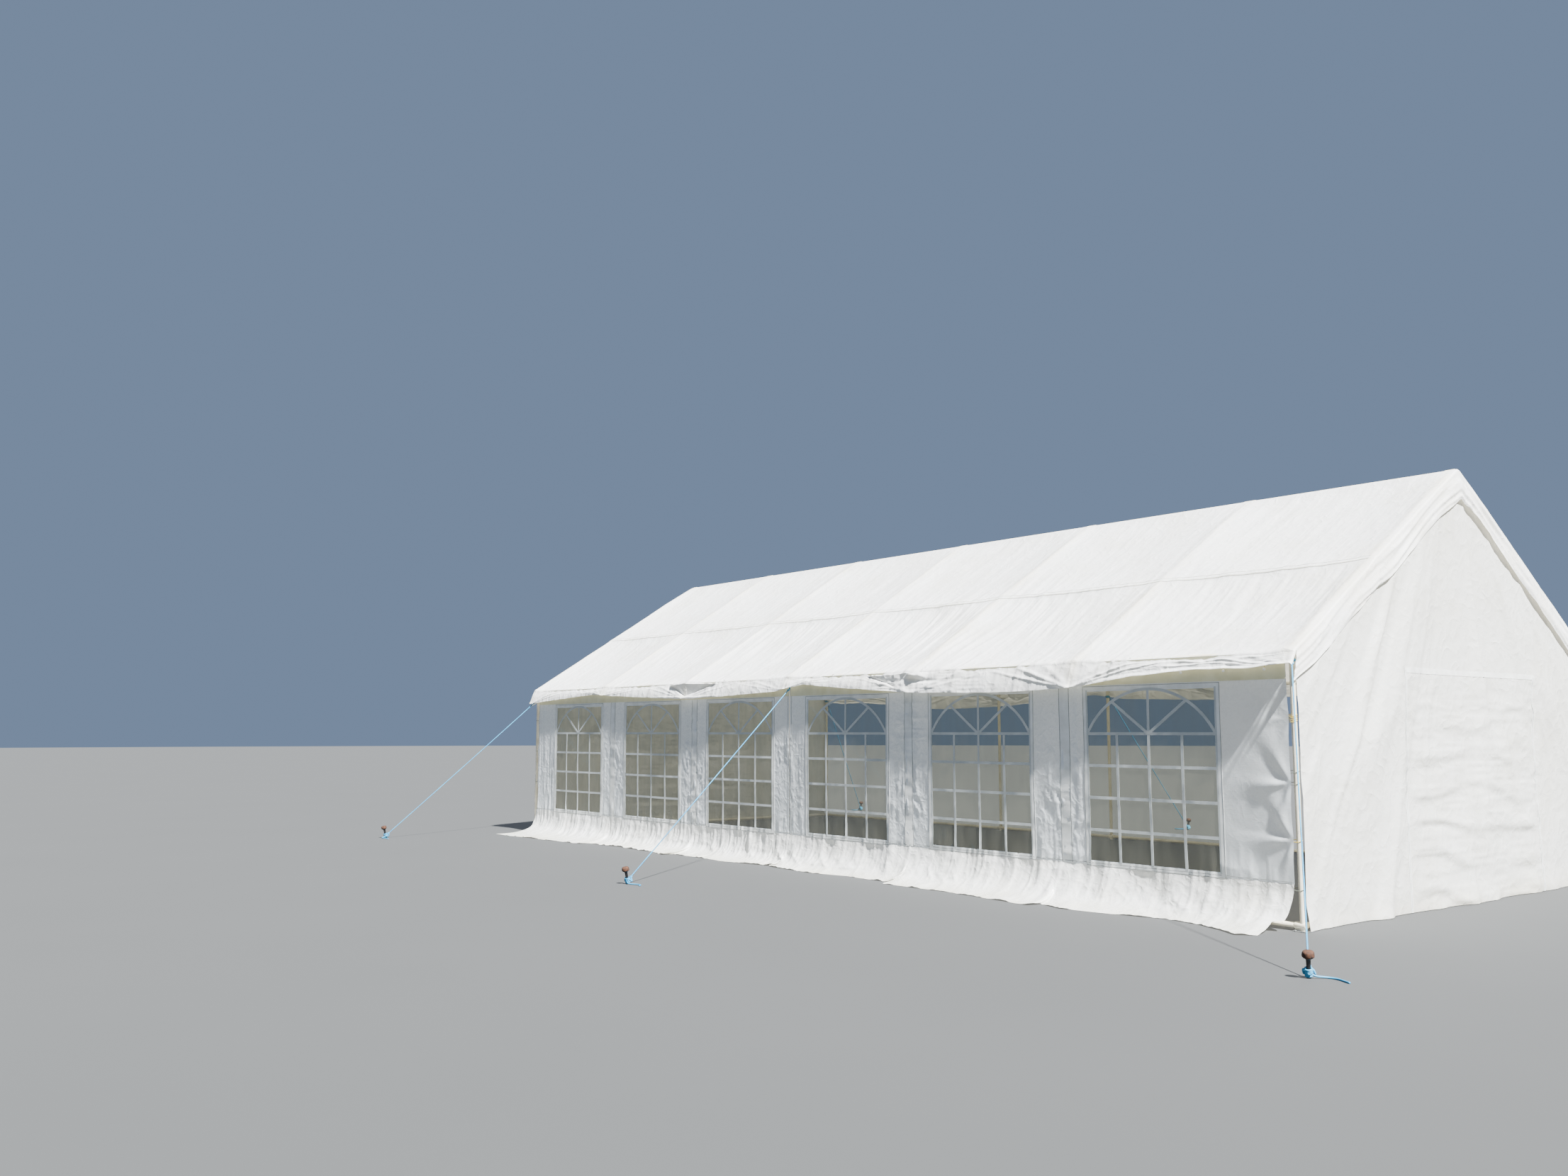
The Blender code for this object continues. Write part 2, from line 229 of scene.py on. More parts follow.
def grid(points: Array, flat: Array | None = None, keep: Array | None = None, flip: bool = False) -> Surface:
    """A surface through a grid of points, with a face between each four neighbours.

    Args:
        points: (rows, columns, 3) places.
        flat: (rows, columns, 2) places on the flat cloth; the row and column numbers without it.
        keep: (rows - 1, columns - 1) truth values, False where a cell is cut out.
        flip: Turn the faces over.

    Returns:
        The surface; its faces look along the column direction crossed with the row direction.
    """
    rows, columns = points.shape[:2]
    number = np.arange(rows * columns).reshape(rows, columns)
    quads = np.stack([number[:-1, :-1], number[:-1, 1:], number[1:, 1:], number[1:, :-1]], axis=-1)
    quads = quads.reshape(-1, 4) if keep is None else quads[keep]
    if flat is None:
        flat = np.stack(np.meshgrid(np.arange(columns), np.arange(rows)), axis=-1).astype(float)
    return Surface(points.reshape(-1, 3), quads[:, ::-1] if flip else quads, flat.reshape(-1, 2))


def joined(*surfaces: Surface) -> Surface:
    """Several surfaces as one, with their faces renumbered."""
    starts = np.cumsum([0, *[len(s.points) for s in surfaces[:-1]]])
    return Surface(
        np.concatenate([s.points for s in surfaces]),
        np.concatenate([s.quads + n for s, n in zip(surfaces, starts)]),
        np.concatenate([s.flat for s in surfaces]),
    )


def swept(path: Array, radius: float | Array, sides: int = 12, across: Array = X_AXIS) -> Surface:
    """A closed round tube: at each path point a ring of the given radius, square to the path.

    Args:
        path: (n, 3) points of the centre line.
        radius: One radius, or one for each point.
        sides: Faces round the tube.
        across: A direction that the path never follows, from which the rings are turned.

    Returns:
        The tube with both ends closed to a point.
    """
    ahead = unit(np.gradient(path, axis=0))
    first = unit(np.cross(ahead, across))
    second = np.cross(ahead, first)
    capped = [0, *range(len(path)), -1]
    path, first, second = path[capped], first[capped][:, None], second[capped][:, None]
    radius = np.broadcast_to(radius, len(path) - 2)
    radius = np.concatenate([[0.0], radius, [0.0]])[:, None, None]
    angle = np.linspace(0, 2 * np.pi, sides + 1)[None, :, None]
    points = path[:, None] + radius * (np.cos(angle) * first + np.sin(angle) * second)
    flat = np.stack(np.meshgrid(np.linspace(0, 1, sides + 1), lengths(path)), axis=-1)
    return grid(points, flat, flip=True)


def turned_piece(profile: list[tuple], foot: Array, axis: Array, sides: int = 16) -> Surface:
    """A turned shape: rings of radius r at height h along an axis, for each (r, h) of the profile."""
    axis = unit(np.array(axis, float))
    first = unit(np.cross(axis, X_AXIS if abs(axis[0]) < 0.9 else Y_AXIS))
    second = np.cross(axis, first)
    radius, height = (np.array(column)[:, None, None] for column in zip(*profile))
    angle = np.linspace(0, 2 * np.pi, sides + 1)[None, :, None]
    points = foot + height * axis + radius * (np.cos(angle) * first + np.sin(angle) * second)
    return grid(points)


def prism(outline: Array, low: float, high: float, chamfer: float) -> Surface:
    """An upright plate of any star-shaped outline with chamfered top and bottom edges."""
    middle = outline.mean(axis=0)
    shrunk = middle + (outline - middle) * (1 - chamfer / np.abs(outline - middle).max())
    levels = [
        (np.broadcast_to(middle, outline.shape), low), (shrunk, low), (outline, low + chamfer),
        (outline, high - chamfer), (shrunk, high), (np.broadcast_to(middle, outline.shape), high),
    ]
    rings = [np.column_stack([ring, np.full(len(ring), z)]) for ring, z in levels]
    rings = [np.concatenate([ring, ring[:1]]) for ring in rings]
    return grid(np.array(rings))


def make(name: str, surface: Surface, finish: "Finish", sharp: float = 0.0) -> Piece:
    """Puts a surface into a mesh object at the origin.

    Points that fall together are welded, so that tubes and poles are closed, and a face that loses a
    corner by it becomes a triangle.

    Args:
        name: The piece's name.
        surface: Its shape.
        finish: What it is made of.
        sharp: Edges that turn by more than this many degrees stay sharp; 0 leaves all smooth.

    Returns:
        The new object, linked into the scene.
    """
    steps = np.round(surface.points * WELD_STEPS).astype(np.int64)
    _, first, number = np.unique(steps, axis=0, return_index=True, return_inverse=True)
    corners = number.reshape(-1)[surface.quads]
    doubled = corners == np.roll(corners, -1, axis=1)
    lost = doubled.sum(axis=1)
    kept = ~doubled[lost == 1]
    faces = [corners[lost == 0], corners[lost == 1][kept].reshape(-1, 3)]
    places = [surface.quads[lost == 0], surface.quads[lost == 1][kept].reshape(-1, 3)]
    mesh = bpy.data.meshes.new(name)
    mesh.vertices.add(len(first))
    mesh.vertices.foreach_set("co", surface.points[first].astype(np.float32).ravel())
    loops = np.concatenate([f.ravel() for f in faces])
    mesh.loops.add(len(loops))
    mesh.loops.foreach_set("vertex_index", loops.astype(np.int32))
    fours, threes = len(faces[0]), len(faces[1])
    starts = np.concatenate([np.arange(fours) * 4, fours * 4 + np.arange(threes) * 3])
    mesh.polygons.add(fours + threes)
    mesh.polygons.foreach_set("loop_start", starts.astype(np.int32))
    mesh.update(calc_edges=True)
    flat = surface.flat[np.concatenate([p.ravel() for p in places])]
    mesh.uv_layers.new(name=CUT_MAP).uv.foreach_set("vector", flat.astype(np.float32).ravel())
    mesh.validate()
    mesh.shade_smooth()
    if sharp:
        mesh.set_sharp_from_angle(angle=math.radians(sharp))
    mesh.materials.append(finish.material())
    piece = bpy.data.objects.new(name, mesh)
    bpy.context.scene.collection.objects.link(piece)
    LOG.info("%s: %d faces", name, len(mesh.polygons))
    return piece


def place(piece: Piece, slot: str, *nodes: str) -> Piece:
    """Fixes a piece to the tent and hides the solids, if any, that it stands for."""
    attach(piece, BODY)
    if nodes:
        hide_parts(*nodes)
    return piece


# Finishes
#
# In the node calls below, sockets 0 to 4 of Map Range are the value, the range that it comes in and the
# range that it is stretched to, and sockets 0, 6 and 7 of a colour Mix are the share and the two colours.


def linear(code: str) -> tuple[float, float, float, float]:
    """An sRGB hex colour as linear light: v/12.92 under 0.04045, else ((v + 0.055)/1.055)^2.4."""
    shares = [int(code[k : k + 2], 16) / 255 for k in (1, 3, 5)]
    return (*[s / 12.92 if s <= 0.04045 else ((s + 0.055) / 1.055) ** 2.4 for s in shares], 1.0)


def node(tree: Tree, kind: str, inputs: dict | None = None, out: int | str = 0, **settings) -> Socket | None:
    """Adds a node with its settings, its values and its links.

    Args:
        tree: The material's node tree.
        kind: The node's type name, without ShaderNode in front.
        inputs: For each socket, by name or number, a value or the socket that feeds it.
        out: Which output is wanted, by name or number.
        settings: The node's own properties.

    Returns:
        That output, or None from a node that has none.
    """
    made = tree.nodes.new("ShaderNode" + kind)
    for name, value in settings.items():
        setattr(made, name, value)
    for name, value in (inputs or {}).items():
        if isinstance(value, Socket):
            tree.links.new(value, made.inputs[name])
        else:
            made.inputs[name].default_value = value
    return made.outputs[out] if made.outputs else None


@dataclass(frozen=True)
class Finish:
    """One material, made once and shared by the pieces that have it."""

    name: str

    def material(self) -> bpy.types.Material:
        """The material of this name, built the first time that it is asked for."""
        known = bpy.data.materials.get(self.name)
        if known:
            return known
        made = bpy.data.materials.new(self.name)
        made.use_nodes = True
        made.node_tree.nodes.clear()
        surface = self.surface(made.node_tree)
        node(made.node_tree, "OutputMaterial", {"Surface": surface})
        return made

    def surface(self, tree: Tree) -> Socket:
        """The shader socket that the output takes."""
        raise NotImplementedError


@dataclass(frozen=True)
class CoatedCloth(Finish):
    """Polyethylene tape cloth, woven and then coated on both sides.

    The coating gives it a milky white with a soft shine, the tapes a fine square weave, folding a net
    of small creases, and daylight comes through it a little warm.
    """

    face: str = "#F1F3F4"
    soil: str = "#CFCBBB"
    soil_clouds: float = 1.7  # a metre, as all the counts of clouds and marks below
    through: str = "#F4EFDF"
    clear_share: float = 0.20
    roughness: float = 0.42
    tape_mm: float = 9.0  # real tapes are 2.5 mm wide; drawn this coarse so that they show
    tape_depth_mm: float = 0.3
    crease_mm: float = 55.0
    crease_depth_mm: float = 1.1
    streak_mm: float = 55.0
    streak_length_mm: float = 687.5
    streak_depth_mm: float = 0.0
    streak_end: float = 3.22  # metres down from the ridge where the eave turns and the streaks fade
    splash: float = 0.0  # height up to which mud is splashed
    tight_from: float = 50.0  # from this X on the cloth is pulled smooth
    rub: str = "#E6DFC6"
    rub_share: float = 0.0
    rub_half_width: float = 0.10
    rafter_pitch: float = 2.0

    def rubbed(self, tree: Tree, colour: Socket, place_x: Socket, patches: Socket) -> Socket:
        """Faint yellowing over the rafters, broken up by the soil noise."""
        away = node(tree, "Math", {0: place_x, 1: self.rafter_pitch / 2}, operation="PINGPONG")
        line = node(tree, "MapRange", {0: away, 2: self.rub_half_width, 3: self.rub_share, 4: 0.0})
        worn = node(tree, "MapRange", {0: patches, 1: 0.35, 2: 0.65, 3: 0.15})
        share = node(tree, "Math", {0: line, 1: worn}, operation="MULTIPLY")
        tints = {0: share, 6: colour, 7: linear(self.rub)}
        return node(tree, "Mix", tints, out=2, data_type="RGBA")

    def surface(self, tree: Tree) -> Socket:
        """Principled cloth with a share of Translucent, over tape, crease and soil patterns."""
        where = node(tree, "TexCoord", out="Object")
        place_x = node(tree, "SeparateXYZ", {0: where})
        tight = {0: place_x, 1: self.tight_from, 2: self.tight_from + 0.25, 3: 1.0, 4: 0.25}
        slack = node(tree, "MapRange", tight)
        cut = node(tree, "UVMap", uv_map=CUT_MAP)
        pitch = 0.31416 / (self.tape_mm / 1000)  # a wave repeats every 0.314 of its scaled length
        tapes = [
            node(tree, "TexWave", {"Vector": cut, "Scale": pitch}, out=1, bands_direction=axis)
            for axis in ("X", "Y")
        ]
        weave = node(tree, "Math", {0: tapes[0], 1: tapes[1]}, operation="MULTIPLY")
        fine = {"Vector": where, "Scale": 1000 / self.crease_mm, "Detail": 4.0}
        crumple = node(tree, "TexNoise", {**fine, "Distortion": 0.9})
        ridged = {**fine, "Scale": 450 / self.crease_mm, "Offset": 1.0, "Gain": 1.0, "Distortion": 0.5}
        ridges = node(tree, "TexNoise", ridged, noise_type="RIDGED_MULTIFRACTAL")
        depth = self.crease_depth_mm / 1000
        bump = None
        for height, distance in ((crumple, depth * 2), (ridges, depth * 1.6)):
            eased = node(tree, "Math", {0: height, 1: slack}, operation="MULTIPLY")
            below = {"Normal": bump} if bump else {}
            raised = {"Height": eased, "Distance": distance, "Strength": 0.8, **below}
            bump = node(tree, "Bump", raised)
        if self.streak_depth_mm:
            scale = (1000 / self.streak_mm, 1000 / self.streak_length_mm, 1.0)
            drawn = node(tree, "Mapping", {"Vector": cut, "Scale": scale})
            long = {"Vector": drawn, "Scale": 1.0, "Detail": 3.0, "Distortion": 0.35}
            streaks = node(tree, "TexNoise", long)
            down = node(tree, "SeparateXYZ", {0: cut}, out=1)
            turn = {0: down, 1: self.streak_end - 0.08, 2: self.streak_end, 3: 1.0, 4: 0.2}
            hung = node(tree, "MapRange", turn)
            streaks = node(tree, "Math", {0: streaks, 1: hung}, operation="MULTIPLY")
            depth = self.streak_depth_mm / 1000
            bump = node(tree, "Bump", {"Height": streaks, "Distance": depth, "Normal": bump})
        depth = self.tape_depth_mm / 1000
        bump = node(tree, "Bump", {"Height": weave, "Distance": depth, "Strength": 0.5, "Normal": bump})
        cloud = {"Vector": where, "Scale": self.soil_clouds, "Detail": 7.0, "Roughness": 0.6}
        patches = node(tree, "TexNoise", cloud)
        dirt = node(tree, "MapRange", {0: patches, 1: 0.46, 2: 0.72, 4: 0.32})
        if self.splash:
            height = node(tree, "SeparateXYZ", {0: where}, out=2)
            low_down = {0: height, 2: self.splash, 3: 0.9, 4: 0.0}
            foot = node(tree, "MapRange", low_down)
            blots = {0: patches, 1: 0.3, 2: 0.65, 3: 0.1, 4: 0.9}
            blotch = node(tree, "MapRange", blots)
            splashed = node(tree, "Math", {0: foot, 1: blotch}, operation="MULTIPLY")
            dirt = node(tree, "Math", {0: dirt, 1: splashed}, operation="MAXIMUM")
        tints = {0: dirt, 6: linear(self.face), 7: linear(self.soil)}
        colour = node(tree, "Mix", tints, out=2, data_type="RGBA")
        if self.rub_share:
            colour = self.rubbed(tree, colour, place_x, patches)
        gloss = {0: crumple, 1: 0.3, 2: 0.7, 3: self.roughness - 0.08, 4: self.roughness + 0.12}
        shine = node(tree, "MapRange", gloss)
        cloth = node(tree, "BsdfPrincipled", {
            "Base Color": colour, "Roughness": shine, "IOR": 1.51, "Normal": bump,
        })
        glow = node(tree, "BsdfTranslucent", {"Color": linear(self.through), "Normal": bump})
        shares = {0: self.clear_share, 1: cloth, 2: glow}
        return node(tree, "MixShader", shares)


@dataclass(frozen=True)
class ClearFilm(Finish):
    """Clear plasticised PVC sheet: see-through with a grey cast, streaked, glossy and slightly hazy."""

    # the grey cast and the grey milkiness are real, and both are darkened further: painted shade of the dim
    # inside seen through the film
    tint_and_shade: str = "#B9BAAE"
    haze_and_shade: str = "#87877B"
    haze_low: float = 0.12
    haze_high: float = 0.30
    streaks: tuple[float, ...] = (9.0, 9.0, 1.4)
    ripples: float = 7.0
    ripple_depth_mm: float = 4.0

    def surface(self, tree: Tree) -> Socket:
        """Transparent film mixed by streaks with a grey milky layer, under a glossy face by its Fresnel; the
        grey is partly painted shade.
        """
        where = node(tree, "TexCoord", out="Object")
        streaky = node(tree, "Mapping", {"Vector": where, "Scale": self.streaks})
        streaks = node(tree, "TexNoise", {"Vector": streaky, "Scale": 1.0, "Detail": 6.0})
        ripple = node(tree, "TexNoise", {"Vector": where, "Scale": self.ripples, "Detail": 2.0})
        depth = self.ripple_depth_mm / 1000
        bump = node(tree, "Bump", {"Height": ripple, "Distance": depth, "Strength": 0.5})
        hazy = {0: streaks, 1: 0.35, 2: 0.7, 3: self.haze_low, 4: self.haze_high}
        share = node(tree, "MapRange", hazy)
        clear = node(tree, "BsdfTransparent", {"Color": linear(self.tint_and_shade)})
        # its grey-brown is partly painted shade of the dim inside
        milky_shade_layer = node(tree, "BsdfPrincipled", {
            "Base Color": linear(self.haze_and_shade), "Roughness": 0.35, "IOR": 1.53, "Normal": bump,
        })
        body = node(tree, "MixShader", {0: share, 1: clear, 2: milky_shade_layer})
        shine = {"Color": linear("#FFFFFF"), "Roughness": 0.08, "Normal": bump}
        gloss = node(tree, "BsdfAnisotropic", shine)
        rim = node(tree, "Fresnel", {"IOR": 1.45, "Normal": bump})
        return node(tree, "MixShader", {0: rim, 1: body, 2: gloss})


@dataclass(frozen=True)
class PaintedSteel(Finish):
    """Drawn steel tube, zinc coated and powder coated cream: smooth, satin, scuffed to zinc in places."""

    paint: str = "#E3DDC9"
    bare: str = "#A3A6A6"
    grime: str = "#B9AF94"
    roughness: float = 0.36
    clouds: float = 5.0
    scuffs: float = 38.0
    scuff_depth_mm: float = 0.4

    def surface(self, tree: Tree) -> Socket:
        """Cream paint with grime in clouds, and bare metal where a fine noise is highest."""
        where = node(tree, "TexCoord", out="Object")
        clouds = {"Vector": where, "Scale": self.clouds, "Detail": 6.0}
        cloud = node(tree, "TexNoise", clouds)
        marks = {"Vector": where, "Scale": self.scuffs, "Detail": 4.0, "Distortion": 1.6}
        scuff = node(tree, "TexNoise", marks)
        grimy = node(tree, "MapRange", {0: cloud, 1: 0.45, 2: 0.75, 4: 0.7})
        bare = node(tree, "MapRange", {0: scuff, 1: 0.68, 2: 0.71})
        colour = linear(self.paint)
        for share, over in ((grimy, self.grime), (bare, self.bare)):
            tints = {0: share, 6: colour, 7: linear(over)}
            colour = node(tree, "Mix", tints, out=2, data_type="RGBA")
        gloss = {0: scuff, 1: 0.3, 2: 0.7, 3: self.roughness, 4: self.roughness + 0.18}
        depth = self.scuff_depth_mm / 1000
        bump = node(tree, "Bump", {"Height": scuff, "Distance": depth, "Strength": 0.4})
        return node(tree, "BsdfPrincipled", {
            "Base Color": colour, "Metallic": bare, "Normal": bump,
            "Roughness": node(tree, "MapRange", gloss),
        })


@dataclass(frozen=True)
class Galvanised(Finish):
    """Hot dipped zinc on steel bolts and plates: grey metal in dull and bright spangles."""

    dull: str = "#83878A"
    bright: str = "#B4B8BA"
    spangle_mm: float = 12.0

    def surface(self, tree: Tree) -> Socket:
        """Metal whose colour and roughness follow the spangles."""
        where = node(tree, "TexCoord", out="Object")
        cells = {"Vector": where, "Scale": 1000 / self.spangle_mm}
        grey = node(tree, "RGBToBW", {0: node(tree, "TexVoronoi", cells, out="Color")})
        tints = {0: grey, 6: linear(self.dull), 7: linear(self.bright)}
        return node(tree, "BsdfPrincipled", {
            "Base Color": node(tree, "Mix", tints, out=2, data_type="RGBA"),
            "Metallic": 1.0,
            "Roughness": node(tree, "MapRange", {0: grey, 3: 0.34, 4: 0.55}),
        })


@dataclass(frozen=True)
class LaidRope(Finish):
    """Three-strand polypropylene rope: bright plastic fibres that shine along the strand."""

    fibre: str = "#176894"
    faded: str = "#3C93B8"
    fibres: tuple[float, ...] = (26.0, 34.0, 1.0)  # once round a strand, and a metre along it
    fibre_depth_mm: float = 0.6
    fades: float = 6.0

    def surface(self, tree: Tree) -> Socket:
        """Fibres as noise drawn out along the strand, paler on patches that have faded."""
        cut = node(tree, "UVMap", uv_map=CUT_MAP)
        drawn = node(tree, "Mapping", {"Vector": cut, "Scale": self.fibres})
        fibres = node(tree, "TexNoise", {"Vector": drawn, "Scale": 1.0, "Detail": 3.0})
        where = node(tree, "TexCoord", out="Object")
        sunned = node(tree, "TexNoise", {"Vector": where, "Scale": self.fades, "Detail": 3.0})
        both = node(tree, "Math", {0: fibres, 1: sunned}, operation="ADD")
        share = node(tree, "MapRange", {0: both, 1: 0.75, 2: 1.3})
        tints = {0: share, 6: linear(self.fibre), 7: linear(self.faded)}
        depth = self.fibre_depth_mm / 1000
        bump = node(tree, "Bump", {"Height": fibres, "Distance": depth, "Strength": 0.7})
        return node(tree, "BsdfPrincipled", {
            "Base Color": node(tree, "Mix", tints, out=2, data_type="RGBA"),
            "Roughness": 0.48, "IOR": 1.49, "Normal": bump,
        })


@dataclass(frozen=True)
class RustedIron(Finish):
    """Forged iron with the last of its black paint: brown scale, orange bloom, pitted and dull."""

    scale: str = "#2A1C15"
    bloom: str = "#52301C"
    paint: str = "#121010"
    paint_top: float = 0.125  # metres over the ground up to which most of the paint is left
    blooms: float = 60.0
    flakes: float = 34.0
    pits: float = 320.0
    pit_depth_mm: float = 1.2

    def surface(self, tree: Tree) -> Socket:
        """Rust in two browns by a coarse noise, black paint by another, pits by a fine one."""
        where = node(tree, "TexCoord", out="Object")
        coarse = node(tree, "TexNoise", {"Vector": where, "Scale": self.blooms, "Detail": 6.0})
        flakes = {"Vector": where, "Scale": self.flakes, "Detail": 8.0, "Distortion": 0.8}
        flake = node(tree, "TexNoise", flakes)
        browned = node(tree, "MapRange", {0: coarse, 1: 0.35, 2: 0.65})
        browns = {0: browned, 6: linear(self.scale), 7: linear(self.bloom)}
        rust = node(tree, "Mix", browns, out=2, data_type="RGBA")
        height = node(tree, "SeparateXYZ", {0: where}, out=2)
        rim = {0: height, 1: self.paint_top - 0.015, 2: self.paint_top + 0.015, 3: 0.34, 4: -0.10}
        kept = node(tree, "MapRange", rim)
        flaked = node(tree, "Math", {0: flake, 1: kept}, operation="ADD")
        painted = node(tree, "MapRange", {0: flaked, 1: 0.62, 2: 0.67})
        tints = {0: painted, 6: rust, 7: linear(self.paint)}
        pits = node(tree, "TexNoise", {"Vector": where, "Scale": self.pits, "Detail": 3.0})
        depth = self.pit_depth_mm / 1000
        bump = node(tree, "Bump", {"Height": pits, "Distance": depth, "Strength": 0.9})
        return node(tree, "BsdfPrincipled", {
            "Base Color": node(tree, "Mix", tints, out=2, data_type="RGBA"),
            "Metallic": 0.15, "Normal": bump,
            "Roughness": node(tree, "MapRange", {0: painted, 3: 0.86, 4: 0.5}),
        })


@dataclass(frozen=True)
class SoftPlastic(Finish):
    """Small plastic goods: welded PVC strip, braided elastic, sewing thread, ball and zip.

    One colour with faint mottling and a fine grain.
    """

    face: str = "#E4E7E7"
    shade: str = "#C9CCCB"
    roughness: float = 0.35
    clouds: float = 9.0
    grain_mm: float = 3.0
    grain_depth_mm: float = 0.2

    def surface(self, tree: Tree) -> Socket:
        """Two close colours mixed by noise, with a bump of the grain's size."""
        where = node(tree, "TexCoord", out="Object")
        cloud = node(tree, "TexNoise", {"Vector": where, "Scale": self.clouds, "Detail": 6.0})
        grain = {"Vector": where, "Scale": 1000 / self.grain_mm, "Detail": 2.0}
        fine = node(tree, "TexNoise", grain)
        depth = self.grain_depth_mm / 1000
        bump = node(tree, "Bump", {"Height": fine, "Distance": depth, "Strength": 0.8})
        share = node(tree, "MapRange", {0: cloud, 1: 0.35, 2: 0.7})
        tints = {0: share, 6: linear(self.face), 7: linear(self.shade)}
        return node(tree, "BsdfPrincipled", {
            "Base Color": node(tree, "Mix", tints, out=2, data_type="RGBA"),
            "Roughness": self.roughness, "IOR": 1.5, "Normal": bump,
        })


@dataclass(frozen=True)
class MattFloor(Finish):
    """Plain floor in matt dark grey paint, which the strong key light shows as a light grey."""

    face: str = "#3B3D3E"
    shade: str = "#383A3B"
    lift: str = "#E4E8EE"  # a faint glow that lightens the shadows on the floor
    lift_power: float = 0.075
    clouds: float = 0.6

    def surface(self, tree: Tree) -> Socket:
        """Two close greys mixed by a slow noise."""
        where = node(tree, "TexCoord", out="Object")
        cloud = node(tree, "TexNoise", {"Vector": where, "Scale": self.clouds, "Detail": 4.0})
        tints = {0: cloud, 6: linear(self.face), 7: linear(self.shade)}
        return node(tree, "BsdfPrincipled", {
            "Base Color": node(tree, "Mix", tints, out=2, data_type="RGBA"),
            "Roughness": 0.9, "Emission Color": linear(self.lift), "Emission Strength": self.lift_power,
        })


ROOF_CLOTH = CoatedCloth(
    "coated_tape_cloth_roof", streak_depth_mm=4.5, crease_depth_mm=1.7, clear_share=0.18, rub_share=0.45,
)
# the wall's face is a darker, bluer white than the roof's, though it is the same white cloth: painted shade
WALL_CLOTH = CoatedCloth(
    "coated_tape_cloth_wall", face="#DCE3E8", soil="#C0C6C5", roughness=0.27, crease_mm=34.0,
    crease_depth_mm=0.95, clear_share=0.14, splash=0.30, tight_from=5.12,
)
SKIRT_CLOTH = CoatedCloth(
    "coated_tape_cloth_skirt", face="#E8EAE9", soil="#BFBCA9", roughness=0.30, crease_mm=34.0,
    crease_depth_mm=1.3, splash=0.08,
)
GABLE_CLOTH = CoatedCloth(
    "coated_tape_cloth_gable", face="#DFE1DF", soil="#BDBAAB", through="#F1E4C4", crease_mm=70.0,
    crease_depth_mm=2.2, clear_share=0.24, splash=0.25,
)
WINDOW_FILM = ClearFilm("clear_pvc_film")
CREAM_STEEL = PaintedSteel("powder_coated_steel_tube")
ZINC = Galvanised("hot_dipped_zinc")
BLUE_ROPE = LaidRope("polypropylene_rope_blue")
IRON = RustedIron("forged_iron_rusted")
BAR_STRIP = SoftPlastic("welded_pvc_strip", face="#B6BBBB", shade="#A5ABAB")
HEM_TAPE = SoftPlastic("hem_tape_pvc", face="#E2E5E4", shade="#CBCECB", roughness=0.4)
# a cream sheet over the wall's head: its cream is painted warm bounce light in the shade under the valance
BOUNCE_LIGHT_BAND = SoftPlastic("painted_bounce_light_band", face="#DAD7B6", shade="#CCC8A2", roughness=0.4)
THREAD = SoftPlastic("polyester_thread_grey", face="#8C908F", shade="#727674", roughness=0.8)
PALE_THREAD = SoftPlastic("polyester_thread_pale", face="#DAD8CC", shade="#C4C0B0", roughness=0.8)
YELLOW_TIE = SoftPlastic("braided_elastic_yellow", face="#D9C24A", shade="#B89C2E", roughness=0.6)
GREY_TIE = SoftPlastic("braided_elastic_grey", face="#6F7468", shade="#54584E", roughness=0.6)
WHITE_BALL = SoftPlastic("moulded_abs_ball_white", face="#F1F1EC", shade="#E2E1DA", roughness=0.25)
DARK_HOOK = SoftPlastic("coated_wire_hook_dark", face="#3B3B36", shade="#2A2A27", roughness=0.5)
ZIP_COIL = SoftPlastic("nylon_zip_coil", face="#C9CCCB", shade="#A8ACAB", roughness=0.45, grain_mm=4.0)
FLOOR = MattFloor("matt_floor_paint")


# The tent's own places


@dataclass(frozen=True)
class Tent:
    """Places that the parts share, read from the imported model, with the tube sizes beside them."""

    half_length: float
    half_span: float
    bay: float
    portals: tuple[float, ...]
    elbow: float
    apex: float
    purlin: float
    roof_top: float
    eave: tuple[float, float]
    tube: float = 0.021
    collar: float = 0.0246
    sleeve: float = 0.0262
    reach: float = 0.060

    @classmethod
    def measured(cls) -> "Tent":
        """Reads the frame lines from the boxes of the tubes and the cover."""
        count = sum(name.startswith("portal_frame_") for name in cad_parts)
        low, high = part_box("portal_frame_1")
        half_length = -(low.x + high.x) / 2
        bay = 2 * half_length / (count - 1)
        rail = sum(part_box("front_eave_rail"), Vector()) / 2
        ridge = sum(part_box("ridge_tube"), Vector()) / 2
        purlin = sum(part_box("front_mid_purlin"), Vector()) / 2
        top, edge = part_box("roof_front")[1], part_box("front_valance")[1]
        lines = tuple(-half_length + bay * k for k in range(count))
        return cls(
            half_length, -rail.y, bay, lines, rail.z, ridge.z, -purlin.y, top.z,
            (-edge.y, edge.z),
        )

    @property
    def pitch(self) -> float:
        """How far the rafters fall for each metre out."""
        return (self.apex - self.elbow) / self.half_span

    def rafter_height(self, out: Array | float) -> Array | float:
        """Height of the rafters' centre line at a distance out from the ridge."""
        return self.apex - self.pitch * out


# Steelwork


